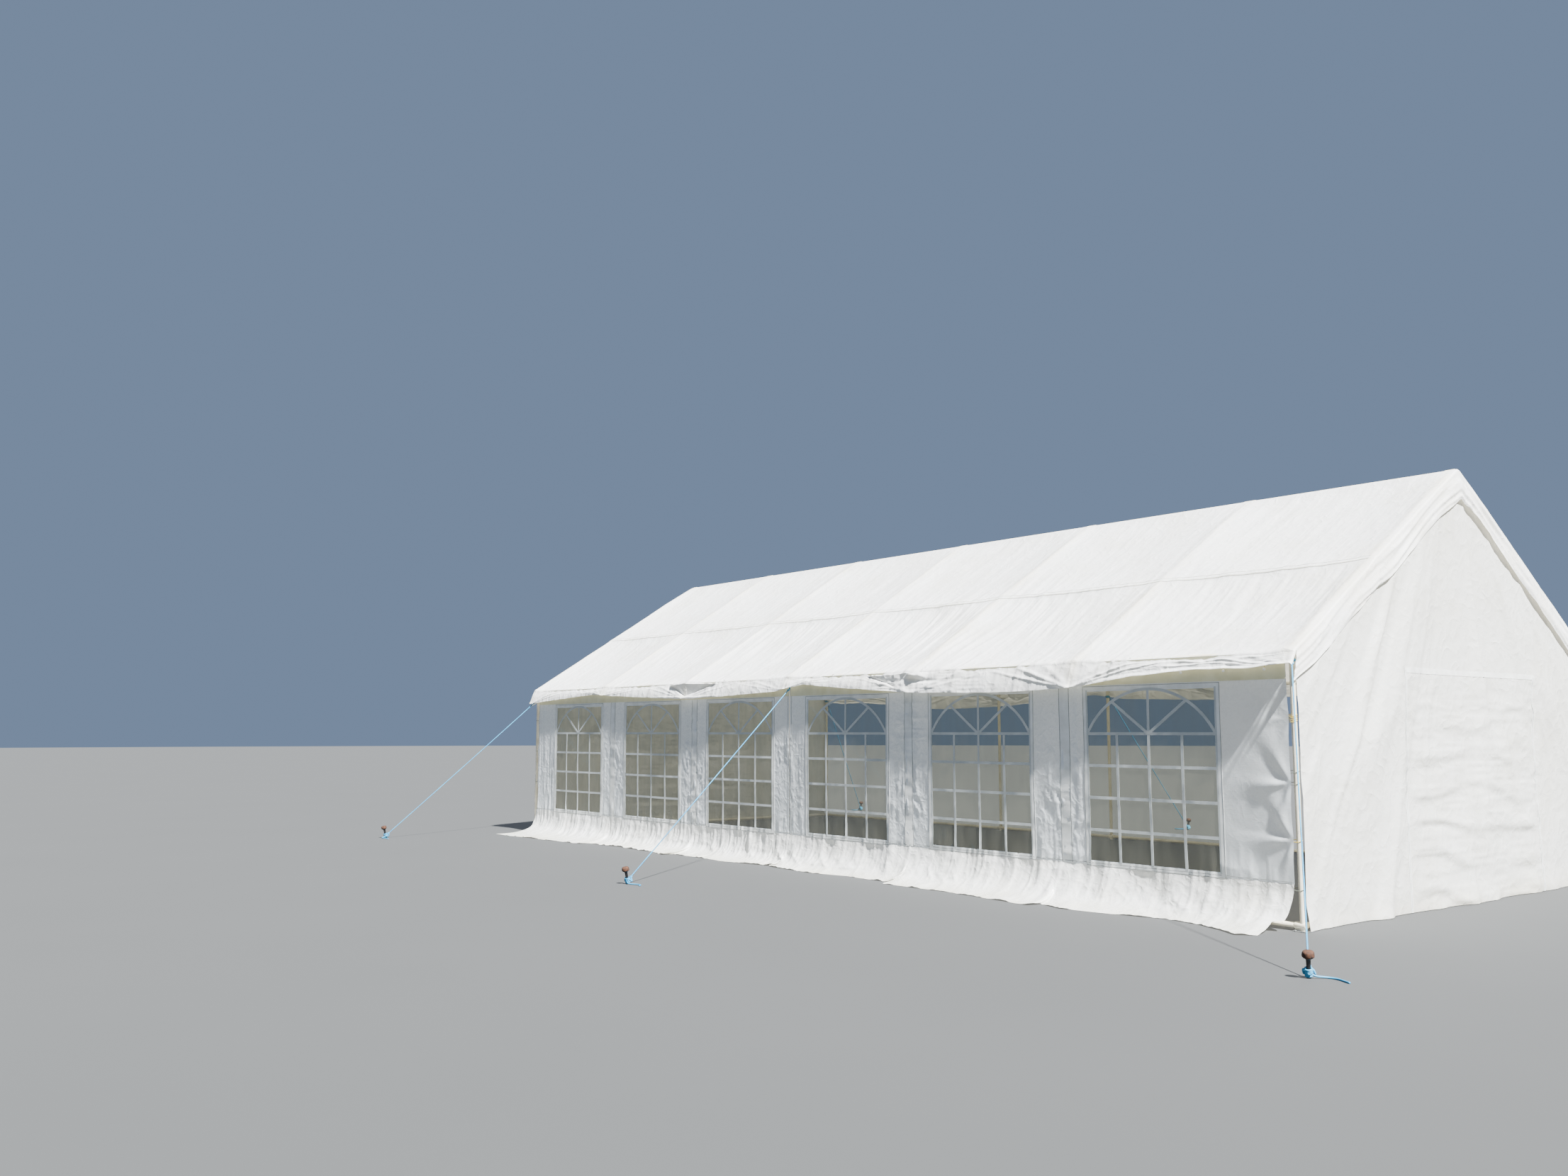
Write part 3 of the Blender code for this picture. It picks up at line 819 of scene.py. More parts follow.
@dataclass
class Steelwork:
    """Portals, purlins, rails and ground bars: round tube with collars, sleeves, bolts and plates."""

    tent: Tent
    sides: int = 20
    bend: float = 0.060
    end_round: float = 0.003
    plate: float = 0.120
    plate_thick: float = 0.005
    bar_height: float = 0.040
    bolt: float = 0.0065
    nail: float = 0.040
    elbow_reach: float = 0.080

    def rod(self, start: tuple, end: tuple, radius: float, across: Array = Z_AXIS) -> Surface:
        """A straight tube with slightly rounded ends."""
        start, end = np.array(start, float), np.array(end, float)
        length = np.linalg.norm(end - start)
        places = np.array([0, self.end_round, length - self.end_round, length]) / length
        path = start + places[:, None] * (end - start)
        shrink = np.array([radius - self.end_round / 2, radius, radius, radius - self.end_round / 2])
        return swept(path, shrink, self.sides, across)

    def bent(self, x: float, corners: list[tuple], radius: float, bend: float) -> Surface:
        """A tube in the plane of a portal through (y, z) corners."""
        line = rounded(corners, bend)
        return swept(np.column_stack([np.full(len(line), x), line]), radius, self.sides)

    def slope_point(self, out: float, side: int, down: float) -> tuple[float, float]:
        """(y, z) on a rafter's centre line, a distance down the slope from the place out."""
        lean = math.atan(self.tent.pitch)
        out = out + down * math.cos(lean)
        return side * out, float(self.tent.rafter_height(out))

    def lines(self) -> dict[str, tuple[float, float]]:
        """(y, z) of every tube that runs the length of the tent."""
        t = self.tent
        return {
            "front_eave_rail": (-t.half_span, t.elbow),
            "front_mid_purlin": (-t.purlin, float(t.rafter_height(t.purlin))),
            "ridge_tube": (0.0, t.apex),
            "rear_mid_purlin": (t.purlin, float(t.rafter_height(t.purlin))),
            "rear_eave_rail": (t.half_span, t.elbow),
            "front_ground_bar": (-t.half_span, self.bar_height),
            "rear_ground_bar": (t.half_span, self.bar_height),
        }

    def portal(self, number: int) -> None:
        """One portal: legs and rafters in one bent tube, its collars and sleeves, plates and bolts."""
        t, x = self.tent, self.tent.portals[number]
        last = len(t.portals) - 1
        foot = self.plate_thick
        top, left, right = (0.0, t.apex), (-t.half_span, t.elbow), (t.half_span, t.elbow)
        path = [(-t.half_span, foot), left, top, right, (t.half_span, foot)]
        parts = [self.bent(x, path, t.tube, self.bend)]
        parts.append(self.bent(x, [
            self.slope_point(0, -1, t.reach), top, self.slope_point(0, 1, t.reach)], t.collar, self.bend))
        for side, corner in ((-1, left), (1, right)):
            below = (corner[0], corner[1] - self.elbow_reach)
            above = self.slope_point(t.half_span, side, -self.elbow_reach)
            parts.append(self.bent(x, [below, corner, above], t.collar, self.bend))
            ends = [self.slope_point(t.purlin, side, d) for d in (-t.reach, t.reach)]
            parts.append(self.rod((x, *ends[0]), (x, *ends[1]), t.collar, X_AXIS))
        low = x - (t.sleeve if number == 0 else t.reach)
        high = x + (t.sleeve if number == last else t.reach)
        for y, z in self.lines().values():
            parts.append(self.rod((low, y, z), (high, y, z), t.sleeve))
        if number in (0, last):
            ends = ((x, -t.half_span, self.bar_height), (x, t.half_span, self.bar_height))
            parts.append(self.rod(*ends, t.tube))
        frame_piece = make(f"portal_tubes_{number + 1}", joined(*parts), CREAM_STEEL, sharp=50)
        place(frame_piece, "frame_steel", f"portal_frame_{number + 1}")
        place(make(f"portal_fixings_{number + 1}", self.fixings(number, low, high), ZINC, sharp=30),
              "frame_steel")

    def fixings(self, number: int, low: float, high: float) -> Surface:
        """Base plates with their nails, and a hexagon bolt in each sleeve, side by side."""
        t, x = self.tent, self.tent.portals[number]
        angle = np.linspace(0, 2 * np.pi, 33)[:-1]
        # a square with round corners, from the ninth powers of the two shares
        round_square = (np.abs(np.cos(angle)) ** 9 + np.abs(np.sin(angle)) ** 9) ** (-1 / 9)
        outline = np.column_stack([np.cos(angle), np.sin(angle)]) * round_square[:, None] * self.plate / 2
        head = [(0, 0), (self.bolt, 0), (self.bolt, 0.005), (self.bolt * 0.9, 0.006), (0, 0.006)]
        parts = []
        for side in (-1, 1):
            parts.append(prism(outline + (x, side * t.half_span), 0.0, self.plate_thick, 0.001))
            for corner in (-1, 1):
                nail = corner * self.nail
                foot = (x + nail, side * (t.half_span - nail), self.plate_thick)
                dome = [(0.009, 0.0), (0.009, 0.003), (0.005, 0.006), (0.0, 0.0065)]
                parts.append(turned_piece(dome, np.array(foot), Z_AXIS, 10))
        for name, (y, z) in self.lines().items():
            inward = 1 if y < 0 or name == "ridge_tube" else -1
            for place_x in (x - t.reach * 0.6, x + t.reach * 0.6):
                if low < place_x < high:
                    start = np.array((place_x, y + inward * (t.sleeve - 0.001), z))
                    parts.append(turned_piece(head, start, Y_AXIS * inward, 6))
        return joined(*parts)

    def build(self) -> None:
        """Makes every portal and every long tube."""
        for number in range(len(self.tent.portals)):
            self.portal(number)
        for name, (y, z) in self.lines().items():
            low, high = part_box(name)
            tube = self.rod((low.x, y, z), (high.x, y, z), self.tent.tube)
            place(make(f"{name}_round", tube, CREAM_STEEL, sharp=50), "frame_steel", name)


# Cover


@dataclass
class RoofCover:
    """The cover: two slopes over the ridge, each running on into the valance along its eave.

    Height over the plain slope = sag between supports + tube edges pressed through + wrinkles. The sag
    in a bay is 1 - (1 - q)^2.2, q the distance from the nearest rafter as a share of half a bay, times
    (4u(1 - u))^0.62 between ridge, purlin and eave, so that every rafter and purlin shows as a fold.
    """

    tent: Tent
    columns: dict
    edge_round: float = 0.020
    overhang: float = 0.034
    ridge_round: float = 0.030
    eave_round: float = 0.052
    slant: float = 0.25
    upper_sag: float = 0.068
    lower_sag: float = 0.090

    # (place along the front eave, height of the valance's lower edge), read along the eave
    hem_heights = (
        (-6.05, 1.853), (-5.22, 1.904), (-4.33, 1.947), (-3.07, 1.889), (-1.99, 1.838), (-0.55, 1.878),
        (-0.12, 1.896), (0.02, 1.918), (0.28, 1.956), (0.9, 1.903), (1.65, 1.850), (1.95, 1.828),
        (3.08, 1.800), (3.99, 1.816), (4.65, 1.893), (5.19, 1.925), (5.69, 1.920), (6.05, 1.945),
    )
    # at each portal from the left: how wrinkled the cover is, and how deep the valance's folds are
    busy = (0.5, 0.6, 0.7, 1.1, 1.25, 1.0, 0.6)
    seam_folds = (0.6, 0.4, 0.6, 0.35, 0.5, 1.2, 0.7)

    def __post_init__(self) -> None:
        """Works out the directions of the slope and of the hanging strip."""
        lean = math.atan(self.tent.pitch)
        hang = math.atan(self.slant)
        self.down = np.array((0, -math.cos(lean), -math.sin(lean)))
        self.normal = np.array((0, -math.sin(lean), math.cos(lean)))
        self.hang = np.array((0, -math.sin(hang), -math.cos(hang)))
        self.out = np.array((0, -math.cos(hang), math.sin(hang)))
        self.turn = math.pi / 2 - lean - hang
        reach = self.eave_round * math.tan(self.turn / 2)
        self.slope_end = self.tent.eave[0] - reach * math.cos(lean)
        self.reach = reach

    def hem(self, x: Array) -> Array:
        """Height of the lower edge: straight between its stations, then averaged over 80 mm."""
        stations, heights = zip(*self.hem_heights)
        offsets = np.linspace(-0.08, 0.08, 9)
        weights = np.cos(offsets / 0.08 * math.pi / 2) ** 2
        taps = [w * np.interp(x + o, stations, heights) for o, w in zip(offsets, weights)]
        return sum(taps) / weights.sum() + 0.003 * lattice_noise(x / 0.11, 0 * x, 5)

    def relief(self, x: Array, out: Array, seed: int) -> Array:
        """Height over the plain slope at a place along the tent and out from the ridge.

        Args:
            x: Along the tent.
            out: Level distance from the ridge.
            seed: Which wrinkles.

        Returns:
            Metres along the slope's normal.
        """
        t = self.tent
        bay = (x + t.half_length) / t.bay
        away = t.bay / 2 - np.abs((x + t.half_length) % t.bay - t.bay / 2)
        soft = np.sqrt(away**2 + 0.018**2) - 0.018
        across = 1 - (1 - np.clip(soft / (t.bay / 2), 0, 1)) ** 2.2
        loose = 0.85 + 0.3 * lattice_noise(np.floor(bay) + 0.5, out * 0 + 3.5, seed + 40)
        rest = 0.016  # half the width on which a purlin carries the cloth
        upper, lower = out / (t.purlin - rest), (out - t.purlin - rest) / (t.eave[0] - t.purlin - rest)
        below = out > t.purlin
        share = np.where(below, lower, upper)
        along = np.clip(4 * share * (1 - share), 0, 1) ** 0.62
        sag = -np.where(below, self.lower_sag, self.upper_sag) * loose * across * along
        drift = 0.45 * lattice_noise(x / 0.8, out / 0.9, seed)
        streaks = creases(x / 0.17 + drift, out / 1.5, seed + 1, 3, 0.6)
        fine = creases(x / 0.062 + 2 * drift, out / 0.8, seed + 4, 1)
        past = out - t.purlin
        fade = ease(0.02, 0.14, past) * (1 - 0.55 * ease(0.5, 1.2, past))
        fade = fade + 0.5 * ease(-0.75, -0.05, past) * ease(0.0, -0.04, past)
        busy = np.interp(bay, range(len(self.busy)), self.busy)
        patch = 0.5 + 0.5 * ease(-0.3, 0.4, lattice_noise(x / 0.6, out / 0.5, seed + 6))
        wrinkles = busy * fade * patch * (0.0076 * streaks + 0.0026 * fine)
        crinkle = 0.0021 * soft_noise(x / 0.13, out / 0.13, seed + 9, 2)
        faint = 0.0032 * creases(x / 0.24 + drift, out / 1.8, seed + 12, 2) * (1 - fade)
        rim = out - t.eave[0]
        pucker = 0.0022 * creases(x / 0.085, out / 0.5, seed + 15, 2) * ease(-0.22, -0.03, rim)
        press = 0.0022 * ease(0.034, 0.020, np.abs(out - t.purlin))
        # over each rafter the cloth comes to a narrow ridge, also where a purlin holds it up
        narrow = np.exp(-(np.sqrt(away**2 + 0.010**2) - 0.010) / 0.10)
        press = press + (0.004 + 0.011 * ease(0.05, 0.5, out)) * narrow
        # a fold arcs up from the eave just right of the last portal but one
        beside = x - 2 * t.bay
        arc = t.eave[0] - 0.02 - 0.085 * np.sin(np.pi * np.clip(beside / 0.85, 0, 1))
        press = press + 0.006 * hump(out, arc, 0.014) * ease(0, 0.1, beside) * ease(0.95, 0.75, beside)
        ridge_free = ease(0.0, 0.12, out)
        return (sag + wrinkles + crinkle + faint + pucker) * ridge_free + press

    def slope(self, x: Array, out: Array, seed: int) -> Array:
        """Points of the front slope: the plain slope rounded over the ridge, moved by the relief."""
        t = self.tent
        bend = np.sqrt(out**2 + self.ridge_round**2)
        tilt = t.pitch * out / bend
        normal = unit(np.stack([0 * tilt, -tilt, 1 + 0 * tilt], axis=-1))
        plain = np.stack([x, -out, t.roof_top - 0.002 - t.pitch * bend], axis=-1)
        return plain + self.relief(x, out, seed)[..., None] * normal

    def folds(self, x: Array, w: Array, seed: int) -> Array:
        """How far the valance stands out, w from 0 at the eave to 1 at the hem.

        A belly of half a sine, creases, V folds that run up from the foot of each seam, a pouch at
        one portal where the cloth is tucked under the eave, and a nose over one elbow.
        """
        t = self.tent
        bend = 0.3 * lattice_noise(x / 0.5, w * 1.2, seed + 19)
        folds = 0.008 * np.sin(np.pi * w) + 0.018 * w
        folds += 0.0024 * creases(x / 0.36 + bend, w * 0.5, seed + 20, 2) * ease(0, 0.2, w)
        folds += 0.0009 * creases(x / 0.10, w * 1.8, seed + 22, 2)
        folds += 0.0009 * soft_noise(x / 0.07, w * 2, seed + 23, 2)
        for line, strength in zip(t.portals, self.seam_folds):
            away = np.abs(x - line)
            for spread, depth in ((0.30, 0.007), (0.62, 0.010), (1.0, 0.007)):
                fold = hump(away, spread * (1.04 - w), 0.05)
                folds += strength * depth * fold * ease(-0.2, 0.2, w) * ease(1.3, 0.6, away)
            folds -= 0.005 * hump(away, 0.0, 0.012)
        pouch = -t.bay
        edge = np.interp(x, (pouch - 0.42, pouch, pouch + 0.66), (0.02, 0.86, 0.02), left=0, right=0)
        inside = ease(0.0, 0.06, edge - w) * ease(0.0, 0.10, edge)
        folds += inside * (0.046 - 0.088 * w / np.maximum(edge, 0.1))
        folds += 0.014 * hump(w, 0.93, 0.07) * hump(x, pouch, 0.5)
        nose = t.bay
        tuck = np.interp(x, (nose - 0.75, nose - 0.25, nose - 0.09), (0.02, 0.80, 0.10), left=0, right=0)
        folds += ease(0.0, 0.08, tuck - w) * (0.020 - 0.052 * w / np.maximum(tuck, 0.1)) * ease(0, 0.1, tuck)
        # the nose: a round lobe over the elbow with a tuck right under it
        lobe = np.exp(-((np.abs(x - nose - 0.04) / 0.115) ** 3))
        folds += 0.046 * lobe * np.exp(-(np.maximum(w - 0.10, 0) / 0.20) ** 4)
        folds -= 0.016 * hump(x, nose + 0.14, 0.24) * hump(w, 0.42, 0.09)
        rumple = hump(x, nose + 0.45, 0.50) + 0.8 * hump(x, nose - 0.40, 0.25)
        folds += 0.0032 * rumple * creases(x / 0.55, w * 5.5, seed + 27, 2)
        rolled = ease(4.05, 4.5, x) * ease(6.1, 5.8, x)
        folds += rolled * (0.020 * ease(0.72, 1.0, w) + 0.004 * creases(x / 0.3, w * 3, seed + 31, 2))
        return folds

    def sheet(self, seed: int, columns: int) -> Surface:
        """One slope with its eave and valance, its ends turned over the gable edge."""
        t = self.tent
        edge = t.half_length + self.overhang
        x = np.linspace(-edge, edge, columns)
        p = t.purlin
        # the rows lie closest over the ridge and over the purlin
        outs = np.concatenate([
            np.linspace(0, 0.08, 6)[:-1], spaced([0.08, p - 0.06], 0.045)[:-1],
            np.linspace(p - 0.06, p + 0.06, 13)[:-1], spaced([p + 0.06, self.slope_end], 0.036),
        ])
        grid_x, grid_out = np.meshgrid(x, outs)
        top = self.slope(grid_x, grid_out, seed)
        eave_end = top[-1]
        angle = np.linspace(0, self.turn, 8)[1:, None, None]
        round_over = np.sin(angle) * self.down - (1 - np.cos(angle)) * self.normal
        dip = 0.020 * hump(x, t.bay + 0.02, 0.07) + 0.005 * lattice_noise(x / 0.33, 0 * x, seed + 50)
        bend = eave_end[None] + round_over * self.eave_round
        w = np.linspace(0, 1, 27)[1:, None] + 0 * x
        start = bend[-1]
        drop = start[:, 2] - self.hem(x)
        length = drop / math.cos(math.atan(self.slant))
        wide_x = w * 0 + x
        lift = self.folds(wide_x, w, seed)
        lift = np.maximum(lift, -0.9 * self.slant * drop * w - 0.002)
        fall = start[None] + (w * length)[..., None] * self.hang + lift[..., None] * self.out
        points = np.concatenate([top, bend, fall])
        # the eave line wanders: the fold is let down by dip, fading out up the slope and down the strip
        rows = np.arange(len(points))[:, None]
        near = np.exp(-(((rows - len(top) - 4) / 7.0) ** 2))
        points[..., 2] -= near * dip
        points[..., 1] -= near * np.abs(dip) * 0.5
        flat = np.stack(np.meshgrid(x, lengths(points[:, columns // 3])), axis=-1)
        return self.with_ends(points, flat)

    def with_ends(self, points: Array, flat: Array) -> Surface:
        """Adds a quarter round at both ends, rolled from along X to straight into the surface."""
        quarter = np.linspace(0, math.pi / 2, 5)[1:]
        run = np.linspace(0.008, 0.031, 4)
        for side, column in ((-1, 0), (1, -1)):
            edge = points[:, column]
            inward = unit(np.cross(X_AXIS, np.gradient(points, axis=0)[:, column]))
            rolls = [
                edge + self.edge_round * (side * math.sin(a) * X_AXIS + (1 - math.cos(a)) * inward)
                for a in quarter
            ]
            added = np.stack(rolls[::side], axis=1)
            strip = flat[:, column][:, None] + np.stack([side * run[::side], 0 * run], axis=-1)
            points = np.concatenate([points, added][::side], axis=1)
            flat = np.concatenate([flat, strip][::side], axis=1)
        return grid(points, flat, flip=True)

    def gable_edge(self, end: End, seeds: dict, count: int = 150) -> Array:
        """The rolled end of the cover from the front eave over the ridge to the rear eave."""
        x = end.value * (self.tent.half_length + self.overhang)
        outs = np.concatenate([np.linspace(self.slope_end, 0.15, count), np.linspace(0.14, 0.0, 18)])
        front = self.slope(x + 0 * outs, outs, seeds[Side.FRONT])
        rear = self.slope(-x + 0 * outs, outs, seeds[Side.REAR]) * (-1, -1, 1)
        edge = np.concatenate([front, rear[::-1][1:]])
        into = unit(np.cross(X_AXIS, np.gradient(edge, axis=0)))
        into *= -np.sign(into[:, 2:])
        return edge + self.edge_round * (end.value * X_AXIS + into)

    def tape(self, place_out: float, width: float, lift: float, seed: int) -> Surface:
        """A strip along the tent on the slope: two edges on the cloth, two raised by lift."""
        x = np.linspace(-self.tent.half_length, self.tent.half_length, 420)
        rails = []
        for side, height in ((-1, 0.0), (-1, lift), (1, lift), (1, 0.0), (-1, 0.0)):
            out = place_out + side * width / 2 + 0 * x
            rails.append(self.slope(x, out, seed) + (0.0004 + height) * self.normal)
        return grid(np.stack(rails, axis=0), flip=True)

    def build(self, seeds: dict) -> None:
        """Makes both slopes, and the tape sewn over each purlin with a row of stitches at both edges."""
        for side in Side:
            name, purlin, seed = side.name.lower(), self.tent.purlin, seeds[side]
            tape = self.tape(purlin, 0.050, 0.0016, seed)
            rows = joined(*[self.tape(purlin + d, 0.004, 0.0026, seed) for d in (-0.022, 0.022)])
            for part, shape, finish in (("tape", tape, HEM_TAPE), ("stitches", rows, PALE_THREAD)):
                place(make(f"{name}_purlin_{part}", shape.on(side), finish, sharp=50), "roof_cloth")
            piece = make(f"{name}_roof_sheet", self.sheet(seed, self.columns[side]).on(side), ROOF_CLOTH)
            place(piece, "roof_cloth", f"roof_{name}", f"{name}_valance")


@dataclass
class RakeBands:
    """The strips that hang from the gable edges, with long folds that run beside the slope."""

    tent: Tent
    roof: RoofCover
    drop: float = 0.232
    rows: int = 22

    def band(self, end: End, seeds: dict) -> Surface:
        """Hangs straight down from the cover's rolled end; it stands out by folds along its length."""
        top = self.roof.gable_edge(end, seeds)
        along = lengths(top)
        middle = along[np.argmin(np.abs(top[:, 1]))]
        w = np.linspace(0, 1, self.rows)[:, None]
        s = along[None] + 0 * w
        seed = 300 + end.value
        drop = self.drop + 0.012 * lattice_noise(s / 0.45, s * 0, seed) + 0.02 * hump(s, middle, 0.25)
        wander = 0.35 * lattice_noise(s / 0.9, s * 0 + 2, seed)
        streak = 0.010 * creases(s / 1.3, w * 2.6 + wander, seed + 2, 2)
        small = 0.002 * soft_noise(s / 0.12, w * 3, seed + 5, 2)
        fan = 0.006 * creases((s - middle) / 0.09, w * 0.6, seed + 7, 2) * hump(s, middle, 0.28)
        stand = (streak + small + fan) * ease(0.0, 0.3, w) + 0.008 * np.sin(np.pi * w * 0.8)
        stand = np.maximum(stand, -0.004)
        points = np.repeat(top[None], self.rows, axis=0)
        points[..., 0] += end.value * stand
        points[..., 2] -= drop * w
        # the last stretch leans out with the valance, so that the corner closes
        corner = ease(self.tent.eave[0] - 0.35, self.tent.eave[0], np.abs(points[..., 1]))
        points[..., 1] += np.sign(points[..., 1]) * corner * w * 0.072
        flat = np.stack([s, drop * w], axis=-1)
        return grid(points, flat, flip=end is End.LEFT)

    def build(self, seeds: dict) -> None:
        """Makes the band at both ends."""
        for end in End:
            name = end.name.lower()
            piece = make(f"{name}_rake_band", self.band(end, seeds), ROOF_CLOTH)
            place(piece, "roof_cloth", f"{name}_gable_valance")


# Front wall


@dataclass
class FrontWall:
    """The windowed wall: two hung sheets, six film windows with their bars, hems and seams.

    Everything on the wall lies at y = -(plane + stand(x, z) + lift), stand being one function of the
    place, so that film, bars and stitches follow the same folds.
    """

    tent: Tent
    pitch: float = 0.0125
    hem_width: float = 0.026
    bar_width: float = 0.024
    seam_gap: float = 0.107
    seams: tuple[float, ...] = (-3.79, -1.86, 1.90, 3.86)
    lace_heights: tuple[float, ...] = (1.55, 1.068, 0.651)
    left_laces: tuple[float, ...] = (1.62, 1.18, 0.74)

    def __post_init__(self) -> None:
        """Reads the wall's edges and the windows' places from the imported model."""
        left_low, left_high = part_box("front_wall_left")
        right_low, right_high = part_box("front_wall_right")
        self.plane = -left_low.y - 0.0035
        self.foot, self.top = left_low.z, left_high.z
        self.left, self.left_end = left_low.x, left_high.x
        self.right_start, self.right = right_low.x, right_high.x
        self.windows = []
        for number in range(1, 7):
            low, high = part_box(f"window_pane_{number}")
            self.windows.append((low.x, high.x, low.z, high.z))

    def stand(self, x: Array, z: Array) -> Array:
        """How far the wall stands out from its plane.

        Bellies between the legs, creases on the strips between the windows, ripples at the left end,
        folds that run to the lacing points at the right end, and gathers above the skirt.
        """
        t = self.tent
        hang = np.clip((z - self.foot) / (self.top - self.foot), 0, 1)
        phase = ((x + t.half_length) % t.bay) / t.bay
        stand = 0.010 * np.sin(np.pi * phase) * np.sin(np.pi * hang) ** 1.5
        stand += 0.004 * soft_noise(x / 0.55, z / 0.9, 60, 2)
        strips = sum(
            strength * hump(x, centre, 0.24) * ease(low, low + 0.25, z) * ease(high + 0.2, high, z)
            for centre, strength, low, high in (
                (-3.78, 0.8, 0.1, 1.35), (-1.88, 1.3, 0.1, 1.85), (0.02, 0.8, 0.1, 1.35),
                (1.90, 0.9, 0.1, 1.75), (3.80, 1.0, 0.1, 1.25),
            )
        )
        slanted = x / 0.085 + 0.5 * lattice_noise(x / 0.3, z / 0.3, 64) + z / 0.35
        patchy = 0.45 + 0.75 * ease(-0.5, 0.5, lattice_noise(x / 0.16, z / 0.30, 62))
        stand += 0.0034 * strips * patchy * creases(slanted, z / 0.15, 65, 2, 0.6)
        stand += 0.0022 * strips * creases(x / 0.05, z / 0.5, 69, 1)
        bands = hump(x, 1.93, 0.20) * ease(1.15, 1.40, z) * ease(1.90, 1.75, z)
        stand += 0.0050 * bands * creases(x / 0.4 + 0.5 * z, z / 0.085, 81, 2)
        calm = ease(5.45, 5.20, x)
        stand += 0.0014 * creases(x / 0.11 - z / 0.4, z / 0.16, 78, 2) * ease(1.55, 0.9, z) * calm
        stand += 0.0035 * creases(x / 0.10, z / 1.2, 72, 2) * ease(-5.2, -5.5, x)
        gather = 0.007 * creases(x / 0.13, z / 0.8, 75, 2) * ease(self.foot + 0.32, self.foot, z)
        stand += gather
        focus = self.right + 0.03
        reach = ease(5.28, 5.55, x)
        for height, depth in zip(self.lace_heights, (0.003, 0.009, 0.009)):
            angle = np.arctan2(z - height, focus - x)
            away = np.hypot(z - height, focus - x)
            fans = np.cos(angle * 5 + 0.5) + 0.25 * np.cos(angle * 11 + height)
            stand += depth * reach * fans * np.exp(-away / 0.40) * ease(0.0, 0.14, away)
        for line in t.portals:
            stand += 0.004 * hump(x, line, 0.05) * ease(0.5, 1.0, z)
        near_rail = ease(self.top - 0.25, self.top - 0.02, z)
        return np.maximum(stand * (1 - near_rail) + 0.001, 0.0) + 0.002 * near_rail

    def spot(self, x: Array, z: Array, lift: float = 0.0) -> Array:
        """The point of the wall that would be at (x, z) without the laces, raised by lift."""
        moved = x + self.edge_shift(x, z)
        return np.stack([moved, -(self.plane + self.stand(moved, z) + lift), z], axis=-1)

    def edge_shift(self, x: Array, z: Array) -> Array:
        """How far the ends move along X: the right one out to its leg, the left one short of its own.

        Both come nearer to the leg at the laces.
        """
        pull = sum(hump(z, height, 0.09) for height in self.lace_heights)
        right = (0.008 * pull + 0.032) * ease(self.right - 0.30, self.right, x)
        held = sum(hump(z, height, 0.07) for height in self.left_laces)
        left = (0.036 - 0.016 * held) * ease(self.left + 0.25, self.left, x)
        return right + left

    def sheets(self) -> None:
        """The two sheets, with their window openings left out of the grid."""
        margin = 0.012
        sill, head = self.windows[0][2] + margin, self.windows[0][3] - margin
        rows = spaced([self.foot, sill, head, self.top], self.pitch)
        halves = {
            "left": (self.left, self.left_end, self.windows[:3]),
            "right": (self.right_start - 0.018, self.right, self.windows[3:]),
        }
        for name, (start, end, windows) in halves.items():
            stops = [start, *[s for low, high, *_ in windows for s in (low + margin, high - margin)], end]
            columns = spaced(stops, self.pitch)
            x, z = np.meshgrid(columns, rows)
            mid_x, mid_z = (columns[1:] + columns[:-1]) / 2, (rows[1:] + rows[:-1]) / 2
            in_width = np.zeros(len(mid_x), bool)
            for low, high, *_ in windows:
                in_width |= (mid_x > low + margin) & (mid_x < high - margin)
            holes = ((mid_z > sill) & (mid_z < head))[:, None] & in_width
            points = self.spot(x, z)
            notch = 0.012 * ease(1.80, 1.86, z) * ease(0.10, 0.0, x) * (name == "right")
            points[..., 0] += notch
            piece = make(f"front_wall_{name}_cloth", grid(points, np.stack([x, z], -1), ~holes), WALL_CLOTH)
            place(piece, "wall_cloth", f"front_wall_{name}")

    def ribbon(
        self, line: Array, width: float, lift: float, thick: float = 0.0012, strips: int = 2
    ) -> Surface:
        """A flat strip laid on the wall along an (x, z) line.

        The line is moved to both sides by half the width at right angles, and each side is put on the
        wall twice, at lift and at lift + thick, to close the strip's section.

        Args:
            line: Two or more (x, z) points.
            width: Across the strip.
            lift: How far its back lies off the wall.
            thick: How thick it is.
            strips: Rows of faces across it.

        Returns:
            The strip, closed at both ends.
        """
        line = resampled(line, 0.016)
        aside = left_of(line)
        rails = []
        over = [(side, lift + thick) for side in np.linspace(-1, 1, strips + 1)]
        for side, height in ((-1, lift), *over, (1, lift), (-1, lift)):
            shifted = line + side * aside * width / 2
            rails.append(self.spot(shifted[:, 0], shifted[:, 1], height))
        ring = np.stack(rails, axis=1)
        first, last = (np.broadcast_to(ring[k].mean(axis=0), ring[k].shape)[None] for k in (0, -1))
        steps = lengths(line)[[0, *range(len(line)), -1]]
        flat = np.stack(np.meshgrid(np.linspace(0, width, strips + 4), steps), axis=-1)
        return grid(np.concatenate([first, ring, last]), flat)

    def upright(self, x: float, low: float, high: float, *size: float) -> Surface:
        """A ribbon straight up the wall; size is the ribbon's width, lift and so on."""
        return self.ribbon(np.array([(x, low), (x, high)]), *size)

    def level(self, z: float, start: float, end: float, *size: float) -> Surface:
        """A ribbon along the wall; size is the ribbon's width, lift and so on."""
        return self.ribbon(np.array([(start, z), (end, z)]), *size)

    def outline(self, number: int, out: float, longer: float = 0.0) -> list[Array]:
        """The four sides of a window's rectangle set out by a distance, each longer at both ends."""
        left, right, low, high = self.windows[number]
        left, right, low, high = left - out, right + out, low - out, high + out
        corners = [(left, low), (right, low), (right, high), (left, high)]
        sides = [np.array(pair) for pair in zip(corners, corners[1:] + corners[:1])]
        return [side + unit(side - side[::-1]) * longer for side in sides]

